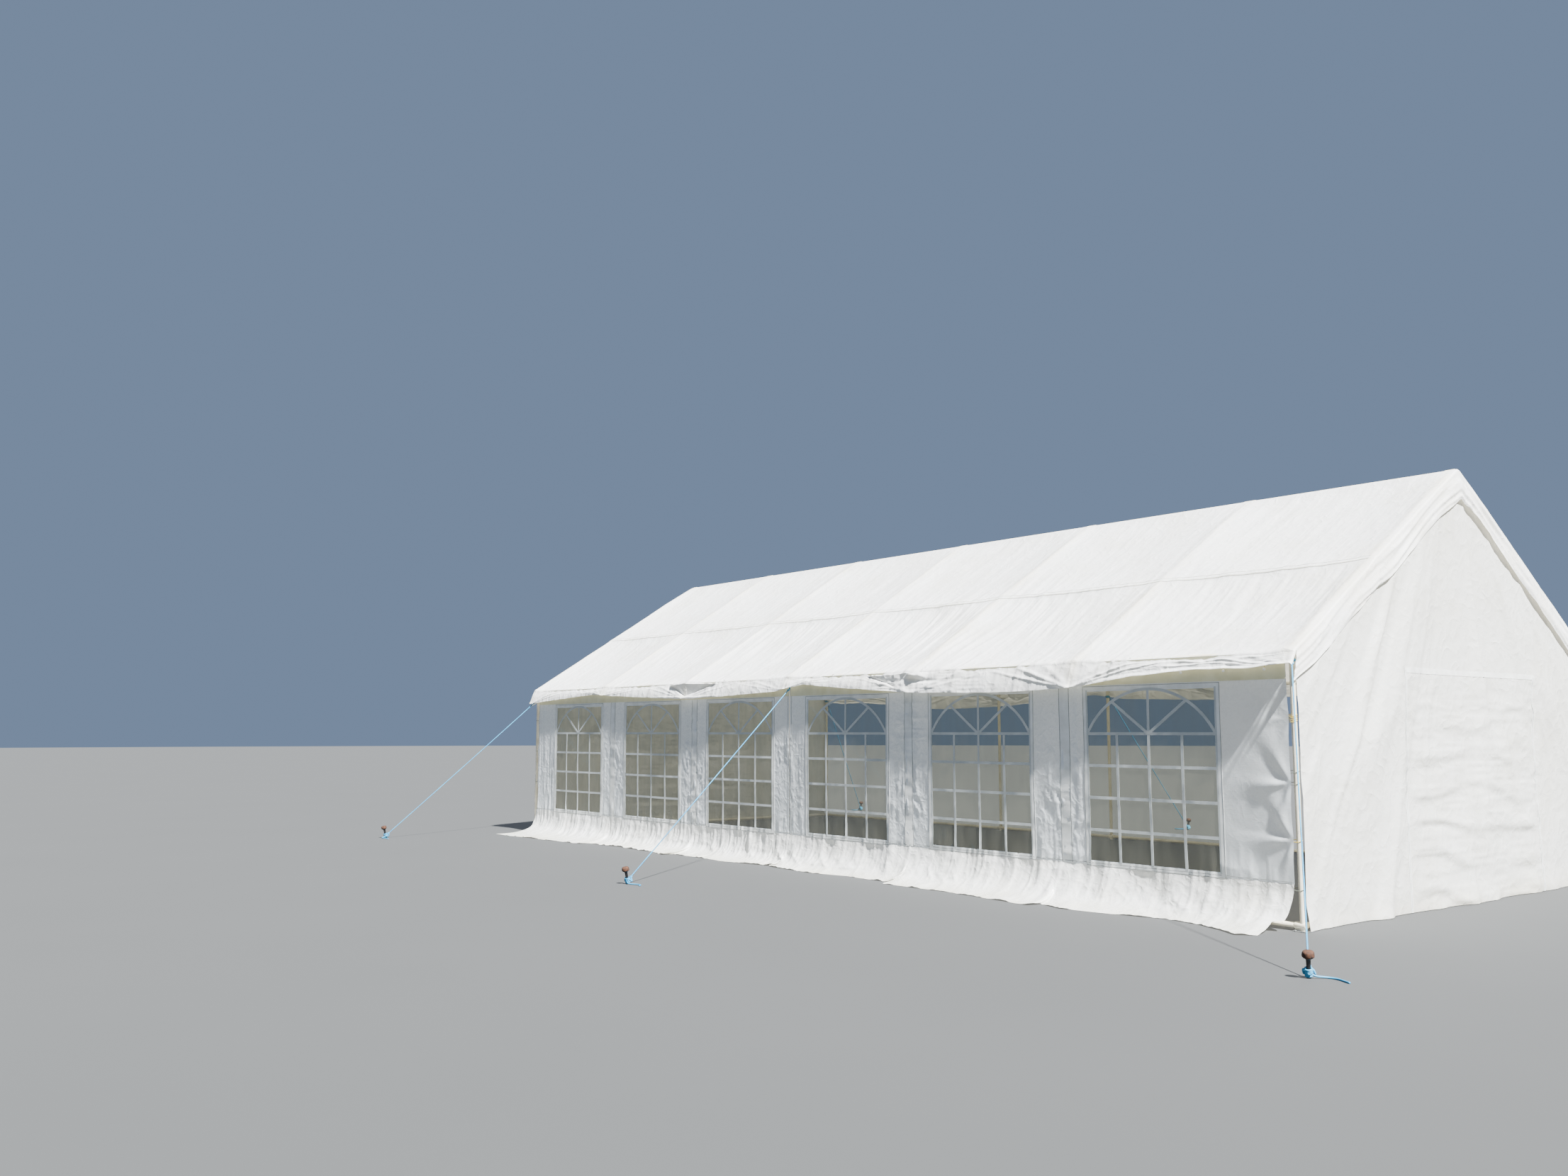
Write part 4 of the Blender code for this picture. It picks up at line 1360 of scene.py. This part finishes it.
    def window(self, number: int) -> None:
        """One window: film, arched bars, hem tape round the opening and its stitches."""
        left, right, low, high = self.windows[number]
        columns, rows = spaced([left, right], 0.040), spaced([low, high], 0.040)
        x, z = np.meshgrid(columns, rows)
        sheet = grid(self.spot(x, z, -0.002), np.stack([x, z], -1))
        film = make(f"window_film_{number + 1}", sheet, WINDOW_FILM)
        place(film, "window_film", f"window_pane_{number + 1}")
        bars = make(f"window_bars_{number + 1}", joined(*self.bars(number)), BAR_STRIP, sharp=50)
        half = self.hem_width / 2
        tapes = [
            self.ribbon(side, self.hem_width + 0.012, 0.0006 + 0.0002 * (k % 2))
            for k, side in enumerate(self.outline(number, half, half))
        ]
        hem = make(f"window_hem_{number + 1}", joined(*tapes), HEM_TAPE, sharp=50)
        outer = self.outline(number, self.hem_width + 0.004)
        threads = [self.ribbon(side, 0.0045, 0.0022, 0.0008) for side in outer]
        stitch = make(f"window_stitch_{number + 1}", joined(*threads), THREAD)
        for piece in (bars, hem, stitch):
            place(piece, "wall_cloth")

    def bars(self, number: int) -> list[Surface]:
        """The bars of a window: four rails, three uprights, an arch of one circle, two spokes, two sides."""
        left, right, low, high = self.windows[number]
        middle, half = (left + right) / 2, (right - left) / 2
        spring = high - 0.256 * (high - low)
        pane = (spring - low) / 4
        strip = self.bar_width
        parts = [self.level(low + pane * k, left, right, strip, 0.0008) for k in range(1, 5)]
        parts += [
            self.upright(middle + half * share, low, top, strip, 0.0014)
            for share, top in ((-0.5, spring), (0.0, high), (0.5, spring))
        ]
        rise, width = high - 0.004 - spring, half - 0.010
        radius = (rise**2 + width**2) / (2 * rise)
        swing = math.asin(width / radius)
        angle = np.linspace(-swing, swing, 60)
        height = spring + rise - radius * (1 - np.cos(angle))
        arch = np.column_stack([middle + radius * np.sin(angle), height])
        parts.append(self.ribbon(arch, strip, 0.0020))
        for side in (-1, 1):
            end_x = side * 0.57 * half
            end_z = spring + rise - radius * (1 - math.cos(math.asin(abs(end_x) / radius)))
            parts.append(self.ribbon(np.array([(middle, spring), (middle + end_x, end_z)]), strip, 0.0026))
        frame_half = strip * 0.35
        for x in (left + frame_half, right - frame_half):
            parts.append(self.upright(x, low, high, strip * 0.7, 0.0011))
        return parts

    def seam_strips(self) -> None:
        """Laps of the cloth between the windows, a cream sheet over them that is painted warm bounce light
        in the valance's shade, and the lines of stitches.
        """
        low, high = self.foot + 0.004, self.top - 0.010
        laps = [self.upright(x, low, high, self.seam_gap, 0.0004, 0.0009) for x in self.seams]
        threads = [
            self.upright(x + side * self.seam_gap / 2, low, high, 0.005, 0.0013, 0.0009)
            for x in self.seams for side in (-1, 1)
        ]
        edges = (self.left + 0.02, self.left_end - 0.02, self.right_start + 0.01)
        threads += [self.upright(x, low, high, 0.004, 0.0006, 0.0008) for x in edges]
        threads += [
            self.level(low + 0.012, start, end, 0.005, 0.0010, 0.0009)
            for start, end in ((self.left + 0.01, self.left_end), (self.right_start, self.right - 0.01))
        ]
        place(make("wall_lap_strips", joined(*laps), HEM_TAPE, sharp=50), "wall_cloth")
        # the head bands' cream is painted warm bounce light in the valance's shade
        bottom, top = self.windows[0][3] + 0.040, self.top - 0.002
        bands = [
            self.level((bottom + top) / 2, start, end, top - bottom, 0.0014, 0.0012, 7)
            for start, end in ((self.left + 0.004, self.left_end), (self.right_start, self.right - 0.004))
        ]
        place(make("wall_head_painted_light_bands", joined(*bands), BOUNCE_LIGHT_BAND, sharp=50), "wall_cloth")
        place(make("wall_seam_stitches", joined(*threads), THREAD), "wall_cloth")

    def build(self) -> None:
        """Makes the sheets, the windows and the seams."""
        self.sheets()
        for number in range(len(self.windows)):
            self.window(number)
        self.seam_strips()


@dataclass
class Skirt:
    """The gathered flap that runs out over the ground along the foot of the front wall.

    Each column is a cubic curve from straight down at the wall to flat on the ground; the gathers
    stand out from it by creases that grow down the flap and die out where it lies flat.
    """

    tent: Tent
    wall: FrontWall
    columns: int = 900
    rows: int = 60
    clear: float = 0.0025

    # (place along the front, how far from the ridge line the flap's edge lies)
    ground_edge = (
        (-6.1, 3.38), (-5.2, 3.36), (-4.6, 3.31), (-3.86, 3.26), (-3.78, 3.13), (-3.1, 3.08), (-2.2, 3.15),
        (-1.90, 3.25), (-1.80, 3.08), (-0.9, 3.12), (-0.12, 2.99), (0.05, 3.06), (0.8, 3.09), (1.2, 3.01),
        (1.86, 3.04), (1.98, 3.17), (2.7, 3.14), (3.3, 3.21), (3.74, 3.25), (3.84, 3.08), (4.1, 3.20),
        (4.6, 3.12), (5.0, 3.02), (5.4, 3.10), (5.8, 3.30), (5.9, 3.20),
    )
    # where two lengths of the flap meet: place, how far they overlap, how high the upper one lifts
    joints = (
        (-3.82, 0.11, 0.014), (-1.85, 0.14, 0.018), (-0.03, 0.15, 0.018), (1.92, 0.17, 0.040),
        (3.80, 0.12, 0.016),
    )

    def points(self) -> tuple[Array, Array]:
        """The grid of places and of flat places."""
        low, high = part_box("front_skirt")
        v = np.linspace(0, 1, self.rows)[:, None]
        base = np.linspace(self.wall.left, self.wall.right, self.columns)[None] + 0 * v
        x = base + (low.x - self.wall.left) * v * ease(-5.5, self.wall.left, base)
        cut = np.interp(v, (0, 0.55, 0.58, 1.0), (0.028, 0.006, -0.078, -0.030))
        x = x + cut * ease(5.55, self.wall.right, base)
        edge = np.interp(x, *zip(*self.ground_edge)) + 0.016 * soft_noise(x / 0.35, 0 * x, 90, 3)
        grow = ease(0.18, 0.75, v)
        lip = 0 * x
        for joint, overlap, height in self.joints:
            t = (x - joint - 0.03 * lattice_noise(v * 2.2, 0 * v + joint, 88)) / 0.10
            x = x - overlap * t * np.exp(-t * t) * grow
            lip = lip + height * np.exp(-(((t + 0.5) / 0.55) ** 2)) * grow
        top = high.z
        plane = self.wall.plane + self.wall.stand(x, self.wall.foot + 0 * x)
        loose = ease(-0.4, 1.2, x)
        knots = [
            (plane, top + 0 * x), (plane + 0.012 + 0.018 * loose, top * (0.26 + 0.14 * loose)),
            (plane + 0.035 + 0.075 * loose, 0.002 + 0.008 * loose), (edge, self.clear + 0 * x),
        ]
        weights = [(1 - v) ** 3, 3 * v * (1 - v) ** 2, 3 * v**2 * (1 - v), v**3]
        out = sum(w * k[0] for w, k in zip(weights, knots))
        up = sum(w * k[1] for w, k in zip(weights, knots))
        warp = 0.8 * v * lattice_noise(x / 0.6, v * 1.3, 94)
        tight = creases(x / 0.092 + warp, v * 1.1, 95, 3, 0.55)
        slack = creases(x / 0.23 + warp, v * 1.0, 97, 3, 0.5)
        wide = creases(x / 0.46 - warp, v * 0.8, 99, 2, 0.5)
        grip = ease(0.0, 0.12, v) * (0.55 + 0.45 * ease(0.1, 0.5, v))
        lift = grip * ((1 - loose) * (0.011 * tight + 0.013 * wide) + loose * (0.010 * slack + 0.014 * wide))
        lift = lift + grip * 0.002 * creases(x / 0.045, v * 5, 103, 2)
        lie = ease(0.50, 0.80, v)
        out = out + lift * (1 - lie) + lip * 0.5 * (1 - lie)
        ripple = np.maximum(0.5 * lift + 0.003 * soft_noise(x / 0.08, v * 6, 105, 2) + 0.003, 0)
        up = up + lie * ripple + 0.3 * np.abs(lift) * ease(0.25, 0.5, v) * (1 - lie) + lip
        points = np.stack([x, -out, np.maximum(up, self.clear)], axis=-1)
        flat = np.stack([base, v * (0.22 + edge - plane)], axis=-1)
        return points, flat

    def build(self) -> None:
        """Makes the flap."""
        points, flat = self.points()
        piece = make("skirt_cloth", grid(points, flat, flip=True), SKIRT_CLOTH)
        place(piece, "wall_cloth", "front_skirt")


# Gables


@dataclass
class GableEnds:
    """The closed cloth at each end with its zipped door: folds that fan out from over the apex."""

    tent: Tent
    pitch: float = 0.030
    foot: float = 0.006
    wrap: float = 0.030

    def __post_init__(self) -> None:
        """Reads the cloth's plane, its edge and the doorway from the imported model."""
        low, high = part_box("right_gable_wall")
        self.plane, self.edge = (low.x + high.x) / 2, high.y + self.wrap
        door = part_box("right_gable_door")[1]
        self.door, self.head = door.y, door.z

    def rise(self, y: Array) -> Array:
        """Height of the cloth's top edge, on the rafters' centre line."""
        return self.tent.rafter_height(np.abs(y))

    def stand(self, y: Array, z: Array, seed: int) -> Array:
        """How far the cloth stands out: fanned folds, soft waves, and a flare at the foot."""
        fan = y / (self.tent.apex + 0.9 - z)
        under = self.rise(y) - z
        free = ease(0.10, 0.75, under)
        folds = 0.024 * creases(fan * 7.0, z / 2.6, seed, 2, 0.45)
        folds = folds + 0.008 * soft_noise(y / 0.5, z / 0.8, seed + 3, 2)
        drape = 0.005 * creases(fan * 19.0, z / 1.5, seed + 7, 2)
        # one long fold runs from each leg's foot up toward the rafter
        past = np.abs(y) - self.edge + (self.edge - 0.9) * z / 2.7
        beside = np.where(past > 0, past / 0.06, past / 0.22)
        drape = drape + 0.018 * hump(beside, 0.0, 1.0) * hump(z, 1.35, 1.25)
        edging = hump(np.abs(y), self.door, 0.15) * ease(self.head + 0.05, self.head - 0.15, z)
        drape = drape + 0.004 * edging * creases(y / 0.3, z / 0.085, seed + 11, 2)
        drape = drape + 0.004 * ease(0.40, 0.08, z) * creases(y / 0.35, z / 0.10, seed + 13, 2)
        flare = 0.016 * ease(0.22, 0.0, z) * (1 + 0.5 * lattice_noise(y / 0.2, 0 * y, seed + 9))
        near_leg = ease(self.edge - 0.25, self.edge, np.abs(y))
        total = 0.010 * free + (folds + drape) * (0.25 + 0.75 * free) * (1 - 0.7 * near_leg) + flare
        return np.clip(total, -0.001, 0.013 + 0.044 * free)

    def spot(self, end: End, y: Array, z: Array, lift: float = 0.0) -> Array:
        """The point of the cloth at (y, z), raised by lift."""
        out = self.plane + self.stand(y, z, 400 + 50 * end.value) + lift
        return np.stack([end.value * out, y, z], axis=-1)

    def slack(self, y: Array, z: Array, seed: int) -> Array:
        """Level folds of a door let down too long: each bulges out low down and slopes back above."""
        share = (z / 0.30 + 0.45 * lattice_noise(y / 0.9, z / 0.5, seed)) % 1.0
        bulge = ease(0.0, 0.28, share) * (1 - np.clip((share - 0.28) / 0.72, 0, 1)) ** 1.2
        uneven = 0.6 + 0.4 * lattice_noise(y / 0.5, z / 0.3, seed + 1)
        inside = ease(self.door, self.door - 0.25, np.abs(y)) * ease(self.head, self.head - 0.3, z)
        small = 0.0035 * creases(y / 0.4, z / 0.06, seed + 2, 2)
        deep = 0.024 * bulge * uneven * (0.35 + 0.65 * ease(1.9, 0.7, z))
        return inside * (deep + np.maximum(small, -0.002))

    def strip(self, end: End, line: Array, width: float, lift: float) -> Surface:
        """A raised strip on the cloth along a (y, z) line, with a closed section."""
        line = resampled(line, 0.03)
        aside = left_of(line)
        rails = []
        for side, height in ((-1, lift), (-1, lift + 0.0015), (1, lift + 0.0015), (1, lift), (-1, lift)):
            shifted = line + side * aside * width / 2
            rails.append(self.spot(end, shifted[:, 0], shifted[:, 1], height))
        return grid(np.stack(rails, axis=1), flip=end is End.LEFT)

    def zips(self, end: End) -> list[Piece]:
        """The tapes round the doorway, and the zip coils on the two upright ones."""
        uprights = [np.array([(y, self.foot), (y, self.head)]) for y in (-self.door, self.door)]
        across = np.array([(-self.door - 0.02, self.head), (self.door + 0.02, self.head)])
        tapes = [self.strip(end, line, 0.034, 0.001) for line in uprights]
        tapes.append(self.strip(end, across, 0.045, 0.001))
        coils = [self.strip(end, line, 0.009, 0.0026) for line in uprights]
        name = end.name.lower()
        return [
            place(make(f"{name}_door_{part}", joined(*strips), finish, sharp=50), "wall_cloth")
            for part, strips, finish in (("tapes", tapes, HEM_TAPE), ("zips", coils, ZIP_COIL))
        ]

    def cloth(self, end: End) -> None:
        """The wall round the doorway and the door itself, on one grid of columns."""
        stops = [-self.edge, -self.door, self.door, self.edge]
        y = spaced(stops, self.pitch)
        below = spaced([self.foot, self.head], self.pitch)
        share = np.linspace(0, 1, 54)[1:]
        low_y, low_z = np.meshgrid(y, below)
        high_y = share[:, None] * 0 + y
        high_z = self.head + share[:, None] * (self.rise(y) - self.head)
        grid_y, grid_z = np.concatenate([low_y, high_y]), np.concatenate([low_z, high_z])
        middle = (y[1:] + y[:-1]) / 2
        keep = np.ones((len(grid_y) - 1, len(y) - 1), bool)
        keep[: len(below) - 1, np.abs(middle) < self.door] = False
        name, flip = end.name.lower(), end is End.LEFT
        shape, flat = self.spot(end, grid_y, grid_z), np.stack([grid_y, grid_z], axis=-1)
        wall = make(f"{name}_gable_cloth", grid(shape, flat, keep, flip), GABLE_CLOTH)
        place(wall, "wall_cloth", f"{name}_gable_wall")
        inner = y[np.abs(y) <= self.door + 1e-6]
        door_y, door_z = np.meshgrid(inner, spaced([self.foot, self.head], 0.016))
        shape, flat = self.spot(end, door_y, door_z), np.stack([door_y, door_z], axis=-1)
        shape[..., 0] += end.value * self.slack(door_y, door_z, 480 + end.value)
        door = make(f"{name}_gable_door_cloth", grid(shape, flat, None, flip), GABLE_CLOTH)
        place(door, "wall_cloth", f"{name}_gable_door")
        tape, coil = self.zips(end)
        leg = float(self.rise(np.array(self.edge)))

    def build(self) -> None:
        """Makes both ends."""
        for end in End:
            self.cloth(end)


# Guys, pegs and ties


@dataclass(frozen=True)
class Guy:
    """One guy: the leg it is tied to, where its peg stands from that leg, and how low it is tied."""

    name: str
    leg: int
    offset: tuple[float, float]
    tie_drop: float


@dataclass
class GuysAndPegs:
    """Taut three-strand ropes from the legs down to leaning pegs with mushroom heads."""

    tent: Tent
    guys: tuple[Guy, ...] = (
        Guy("left", 0, (-0.320, -2.105), 0.134),
        Guy("middle", 3, (0.405, -2.320), 0.106),
        Guy("right", 6, (0.990, -1.645), 0.059),
    )
    rope: float = 0.0062
    lay: float = 0.042
    sag: float = 0.006
    hold: float = 0.045
    lean: float = math.radians(14)
    stem: float = 0.0135
    head: float = 0.0360
    height: float = 0.170

    def strands(self, start: Array, end: Array) -> Surface:
        """Three strands wound on one line: each centre is a helix of half the rope's radius."""
        length = np.linalg.norm(end - start)
        ahead = (end - start) / length
        one = unit(np.cross(ahead, X_AXIS))
        two = np.cross(ahead, one)
        s = np.linspace(0, length, int(length / self.lay * 6))
        sag = self.sag * 4 * (s / length) * (1 - s / length)
        middle = start + s[:, None] * ahead - sag[:, None] * Z_AXIS
        parts = []
        for third in range(3):
            angle = 2 * np.pi * (s / self.lay + third / 3)
            around = np.cos(angle)[:, None] * one + np.sin(angle)[:, None] * two
            parts.append(swept(middle + self.rope * 0.52 * around, self.rope * 0.50, 5))
        return joined(*parts)

    def wraps(self, centre: Array, axis: Array, radius: float, turns: float, rise: float) -> Surface:
        """Rope wound round a post: a helix about its axis."""
        axis = unit(axis)
        one = unit(np.cross(axis, X_AXIS))
        two = np.cross(axis, one)
        t = np.linspace(0, turns, int(turns * 22))[:, None]
        ring = np.cos(2 * np.pi * t) * one + np.sin(2 * np.pi * t) * two
        path = centre + (radius + self.rope * 0.9) * ring + (t / turns - 0.5) * rise * axis
        return swept(path, self.rope * 0.95, 8, axis)

    def knot(self, centre: Array, size: float) -> Surface:
        """A trefoil pulled tight: x = sin a + 2 sin 2a, y = cos a - 2 cos 2a, z = -1.4 sin 3a."""
        a = np.linspace(0, 2 * np.pi, 60)
        path = np.column_stack([
            np.sin(a) + 2 * np.sin(2 * a), np.cos(a) - 2 * np.cos(2 * a), -1.4 * np.sin(3 * a),
        ])
        return swept(centre + path * size / 3, self.rope * 0.95, 8, np.array((0.31, 0.22, 0.93)))

    def tangle(self, centre: Array, size: float, seed: int) -> Surface:
        """Loose loops round a peg: x = cos(3a + p), y = cos(2a + q), z = 0.55 cos 7a, times the size."""
        a = np.linspace(0, 2 * np.pi, 150)
        p, q = 0.7 + 0.4 * seed, 0.2 + 0.3 * seed
        path = np.column_stack([np.cos(3 * a + p), np.cos(2 * a + q), 0.55 * np.cos(7 * a)])
        return swept(centre + path * size, self.rope, 8, np.array((0.31, 0.22, 0.93)))

    def tail(self, start: Array, away: Array, length: float, seed: int) -> Surface:
        """A free end that drops to the ground and lies there in a loose S."""
        s = np.linspace(0, 1, 40)[:, None]
        aside = np.cross(away, Z_AXIS)
        height = self.rope + (start[2] - self.rope) * (1 - s) ** 5
        wave = 0.05 * np.sin(s * 5.0 + seed)
        level = start * (1, 1, 0) + away * (s * length) + aside * wave * ease(0, 0.4, s)
        return swept(level + height * Z_AXIS, self.rope, 8, np.array((0.12, 0.21, 0.97)))

    def peg(self, foot: Array, axis: Array, seed: int) -> Surface:
        """A forged peg: a stem, a swelling under the head and a domed head, dented by noise."""
        r, h = self.stem, self.height
        neck, rim = h - 0.045, self.head
        dome = np.linspace(0.25, 1.5, 7)
        profile = [
            (0, 0.0005), (r, 0.0005), (r, 0.03), (r * 0.97, 0.07), (r * 1.02, neck - 0.012),
            (r * 1.4, neck - 0.003), (rim * 0.80, neck + 0.002), (rim * 0.98, neck + 0.009),
            (rim, neck + 0.016), (rim * 0.97, h - 0.017),
            *((rim * math.cos(a) ** 0.6 * 0.95, h - 0.013 + 0.013 * math.sin(a)) for a in dome),
            (0, h),
        ]
        surface = turned_piece(profile, foot, axis, 28)
        p = surface.points - foot
        dent = 0.0011 * lattice_noise(p[:, 0] / 0.016 + 40, p[:, 1] / 0.016 + p[:, 2] / 0.02 + 40, seed)
        spread = p - (p @ axis / (axis @ axis))[:, None] * axis
        surface.points += spread / (np.linalg.norm(spread, axis=1, keepdims=True) + 0.004) * dent[:, None]
        surface.points[:, 2] = np.maximum(surface.points[:, 2], 0.0003)
        return surface

    def build(self) -> None:
        """Makes the three guys and pegs at the front and their turned copies at the rear."""
        t = self.tent
        for seed, guy in enumerate(self.guys):
            leg = np.array((t.portals[guy.leg], -t.half_span, 0.0))
            foot = leg + (*guy.offset, 0.0)
            away = unit(foot - leg)
            aside = np.cross(Z_AXIS, away)
            axis = Z_AXIS + away * math.tan(self.lean)
            tie = leg + Z_AXIS * (t.elbow - guy.tie_drop)
            hold = foot + axis * self.hold
            steep = unit(tie - hold)[2]
            start = tie + away * (t.tube + self.rope * steep + 0.004)
            end = hold - away * (self.stem + self.rope * steep + 0.002)
            rope = joined(
                self.strands(start, end),
                self.wraps(tie, Z_AXIS, t.tube, 2.2, 0.022),
                self.knot(start + (end - start) * 0.012, 0.010),
                self.wraps(hold, axis, self.stem, 3.4, 0.034),
                self.wraps(foot + axis * 0.018, axis, self.stem, 1.6, 0.014),
                self.knot(end - (end - start) * 0.010, 0.011),
                self.tangle(hold - Z_AXIS * 0.006 - away * 0.012, 0.026, seed),
                self.tail(hold - (away + aside) * 0.02, (away * 0.35 + aside) * 0.95, 0.26, seed),
            )
            peg = self.peg(foot, axis, 500 + seed)
            for side in Side:
                name = side.name.lower()
                strands = make(f"{name}_guy_rope_{guy.name}", rope.on(side), BLUE_ROPE)
                place(strands, "guy_rope", f"{name}_guy_{guy.name}")
                iron = make(f"{name}_forged_peg_{guy.name}", peg.on(side), IRON, sharp=55)
                place(iron, "peg_iron", f"{name}_peg_{guy.name}")


@dataclass
class Ties:
    """Small ties: elastic loops with balls at the corners and under the eave, and wire hooks on the rail."""

    tent: Tent
    wall: FrontWall
    ball: float = 0.0115
    ball_line: tuple[float, float] = (-2.829, 1.905)
    cord: float = 0.0026
    ball_places: tuple[float, ...] = (4.72, 5.077, 5.462, 5.81)
    hook_places: tuple[float, ...] = (-4.35, -2.35, -1.28, -1.10, 0.30, 0.72, 1.62, 3.35, 4.55)
    hook_radius: float = 0.024

    def loop_round_leg(self, x: float, z: float, reach: float) -> Surface:
        """An oval loop round a leg and through an eyelet at a distance along the wall."""
        a = np.linspace(0, 2 * np.pi, 40)
        toward = -1 if x > 0 else 1
        wrap = self.tent.tube + self.cord
        half = (reach + wrap) / 2
        path = np.column_stack([
            x + toward * (half - wrap) + half * np.cos(a),
            -self.tent.half_span - 0.004 + (wrap + 0.002) * np.sin(a),
            z + 0.008 * np.sin(a) + 0.002 * np.cos(2 * a),
        ])
        return swept(path, self.cord, 6, Z_AXIS)

    def laces(self) -> None:
        """Yellow and grey elastic loops that lace the wall's ends to the corner legs."""
        left, right = self.tent.portals[0], self.tent.portals[-1]
        top, middle, low = self.wall.lace_heights
        yellow = [self.loop_round_leg(right, top + d, 0.045) for d in (-0.022, -0.008, 0.008, 0.020)]
        yellow += [self.loop_round_leg(right, low, 0.05)]
        place(make("leg_lacing_yellow", joined(*yellow), YELLOW_TIE), "guy_rope")
        grey = [self.loop_round_leg(right, z, 0.06) for z in (middle, 1.155, 0.30)]
        grey += [self.loop_round_leg(left, z, 0.093) for z in self.wall.left_laces]
        place(make("leg_lacing_grey", joined(*grey), GREY_TIE), "guy_rope")

    def ball_ties(self) -> None:
        """White balls on yellow cords under the eave; a ball is half a circle turned about Z."""
        turn = np.linspace(0, math.pi, 11)
        shape = [(self.ball * math.sin(a), self.ball * (1 - math.cos(a))) for a in turn]
        share = np.linspace(0, 1, 24)[:, None]
        balls, cords = [], []
        for x in self.ball_places:
            foot = np.array((x, *self.ball_line))
            balls.append(turned_piece(shape, foot, Z_AXIS, 16))
            top = foot + Z_AXIS * (2 * self.ball)
            path = top + share * (0.008, 0.020, 0.075) + np.sin(share * np.pi) * (0.004, -0.004, 0)
            cords.append(swept(path, 0.0018, 6))
        place(make("eave_tie_balls", joined(*balls), WHITE_BALL), "wall_cloth")
        place(make("eave_tie_cords", joined(*cords), YELLOW_TIE), "wall_cloth")

    def hooks(self) -> None:
        """Wire hooks on the eave rail: an arc over the tube, a straight shank and a small return."""
        a = np.linspace(-0.3, 3.6, 24)[:, None]
        b = np.linspace(0, 2.6, 12)[1:, None]
        shank = np.linspace(0, 1, 8)[1:, None]
        hooks = []
        for x in self.hook_places:
            rail = np.array((x, -self.tent.half_span, self.tent.elbow))
            arc = rail + self.hook_radius * (np.cos(a) * Y_AXIS + np.sin(a) * Z_AXIS)
            stem = arc[-1] + shank * np.array((0.01, 0.010, -0.085))
            foot = stem[-1] + 0.011 * ((1 - np.cos(b)) * X_AXIS - np.sin(b) * Z_AXIS)
            hooks.append(swept(np.concatenate([arc, stem, foot]), 0.0022, 6))
        place(make("eave_rail_hooks", joined(*hooks), DARK_HOOK), "frame_steel")

    def build(self) -> None:
        """Makes the laces, the balls and the hooks."""
        self.laces()
        self.ball_ties()
        self.hooks()


# Studio


@dataclass
class Studio:
    """Camera, floor and light."""

    place: tuple[float, float, float] = (11.244, -11.679, 1.442)
    turn: tuple[float, float, float] = (96.38, 0.0, 51.93)
    lens: float = 29.645
    floor: float = 130.0
    key_toward: tuple[float, float, float] = (0.63, -0.070, 0.775)
    key_power: float = 30.5
    key_spread: float = 2.0
    sky: str = "#A6C1EA"
    sky_power: float = 0.47

    def camera(self) -> None:
        """The photograph's viewpoint, with its lens on a 36 mm wide sensor."""
        data = bpy.data.cameras.new("view")
        data.sensor_width, data.lens = 36.0, self.lens
        data.clip_start, data.clip_end = 0.1, 500.0
        camera = bpy.data.objects.new("view", data)
        camera.location = self.place
        camera.rotation_euler = Euler([math.radians(a) for a in self.turn])
        bpy.context.scene.collection.objects.link(camera)
        bpy.context.scene.camera = camera

    def build(self) -> None:
        """Makes the floor, the key light, which is a narrow sun, and the plain blue-grey sky."""
        rings = np.array([0.0, 8.0, 16.0, 40.0, 80.0, self.floor])[:, None, None]
        angle = np.linspace(0, 2 * np.pi, 97)[None, :, None]
        disc = rings * np.concatenate([np.cos(angle), np.sin(angle), 0 * angle], axis=2)
        floor = make("studio_floor", grid(disc, flip=True), FLOOR)
        floor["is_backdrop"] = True
        light = bpy.data.lights.new("key", "SUN")
        light.energy, light.angle = self.key_power, math.radians(self.key_spread)
        light.color = linear("#FFFEFB")[:3]
        key = bpy.data.objects.new("key", light)
        key.rotation_euler = Vector(self.key_toward).to_track_quat("Z", "Y").to_euler()
        bpy.context.scene.collection.objects.link(key)
        world = bpy.data.worlds.new("studio_sky")
        world.use_nodes = True
        background = world.node_tree.nodes["Background"]
        background.inputs[0].default_value = linear(self.sky)
        background.inputs[1].default_value = self.sky_power
        bpy.context.scene.world = world
        self.camera()


def main() -> None:
    """Builds the tent and the studio."""
    logging.basicConfig(level=logging.INFO, format="%(name)s: %(message)s")
    tent = Tent.measured()
    LOG.info("tent: %s", tent)
    seeds = {Side.FRONT: 11, Side.REAR: 211}
    Steelwork(tent).build()
    roof = RoofCover(tent, columns={Side.FRONT: 850, Side.REAR: 350})
    roof.build(seeds)
    RakeBands(tent, roof).build(seeds)
    wall = FrontWall(tent)
    wall.build()
    Skirt(tent, wall).build()
    GableEnds(tent).build()
    GuysAndPegs(tent).build()
    Ties(tent, wall).build()
    Studio().build()
    bpy.context.view_layer.update()
    faces = sum(len(piece.data.polygons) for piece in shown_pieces())
    LOG.info("all pieces: %d faces", faces)


if __name__ == "__main__":
    main()
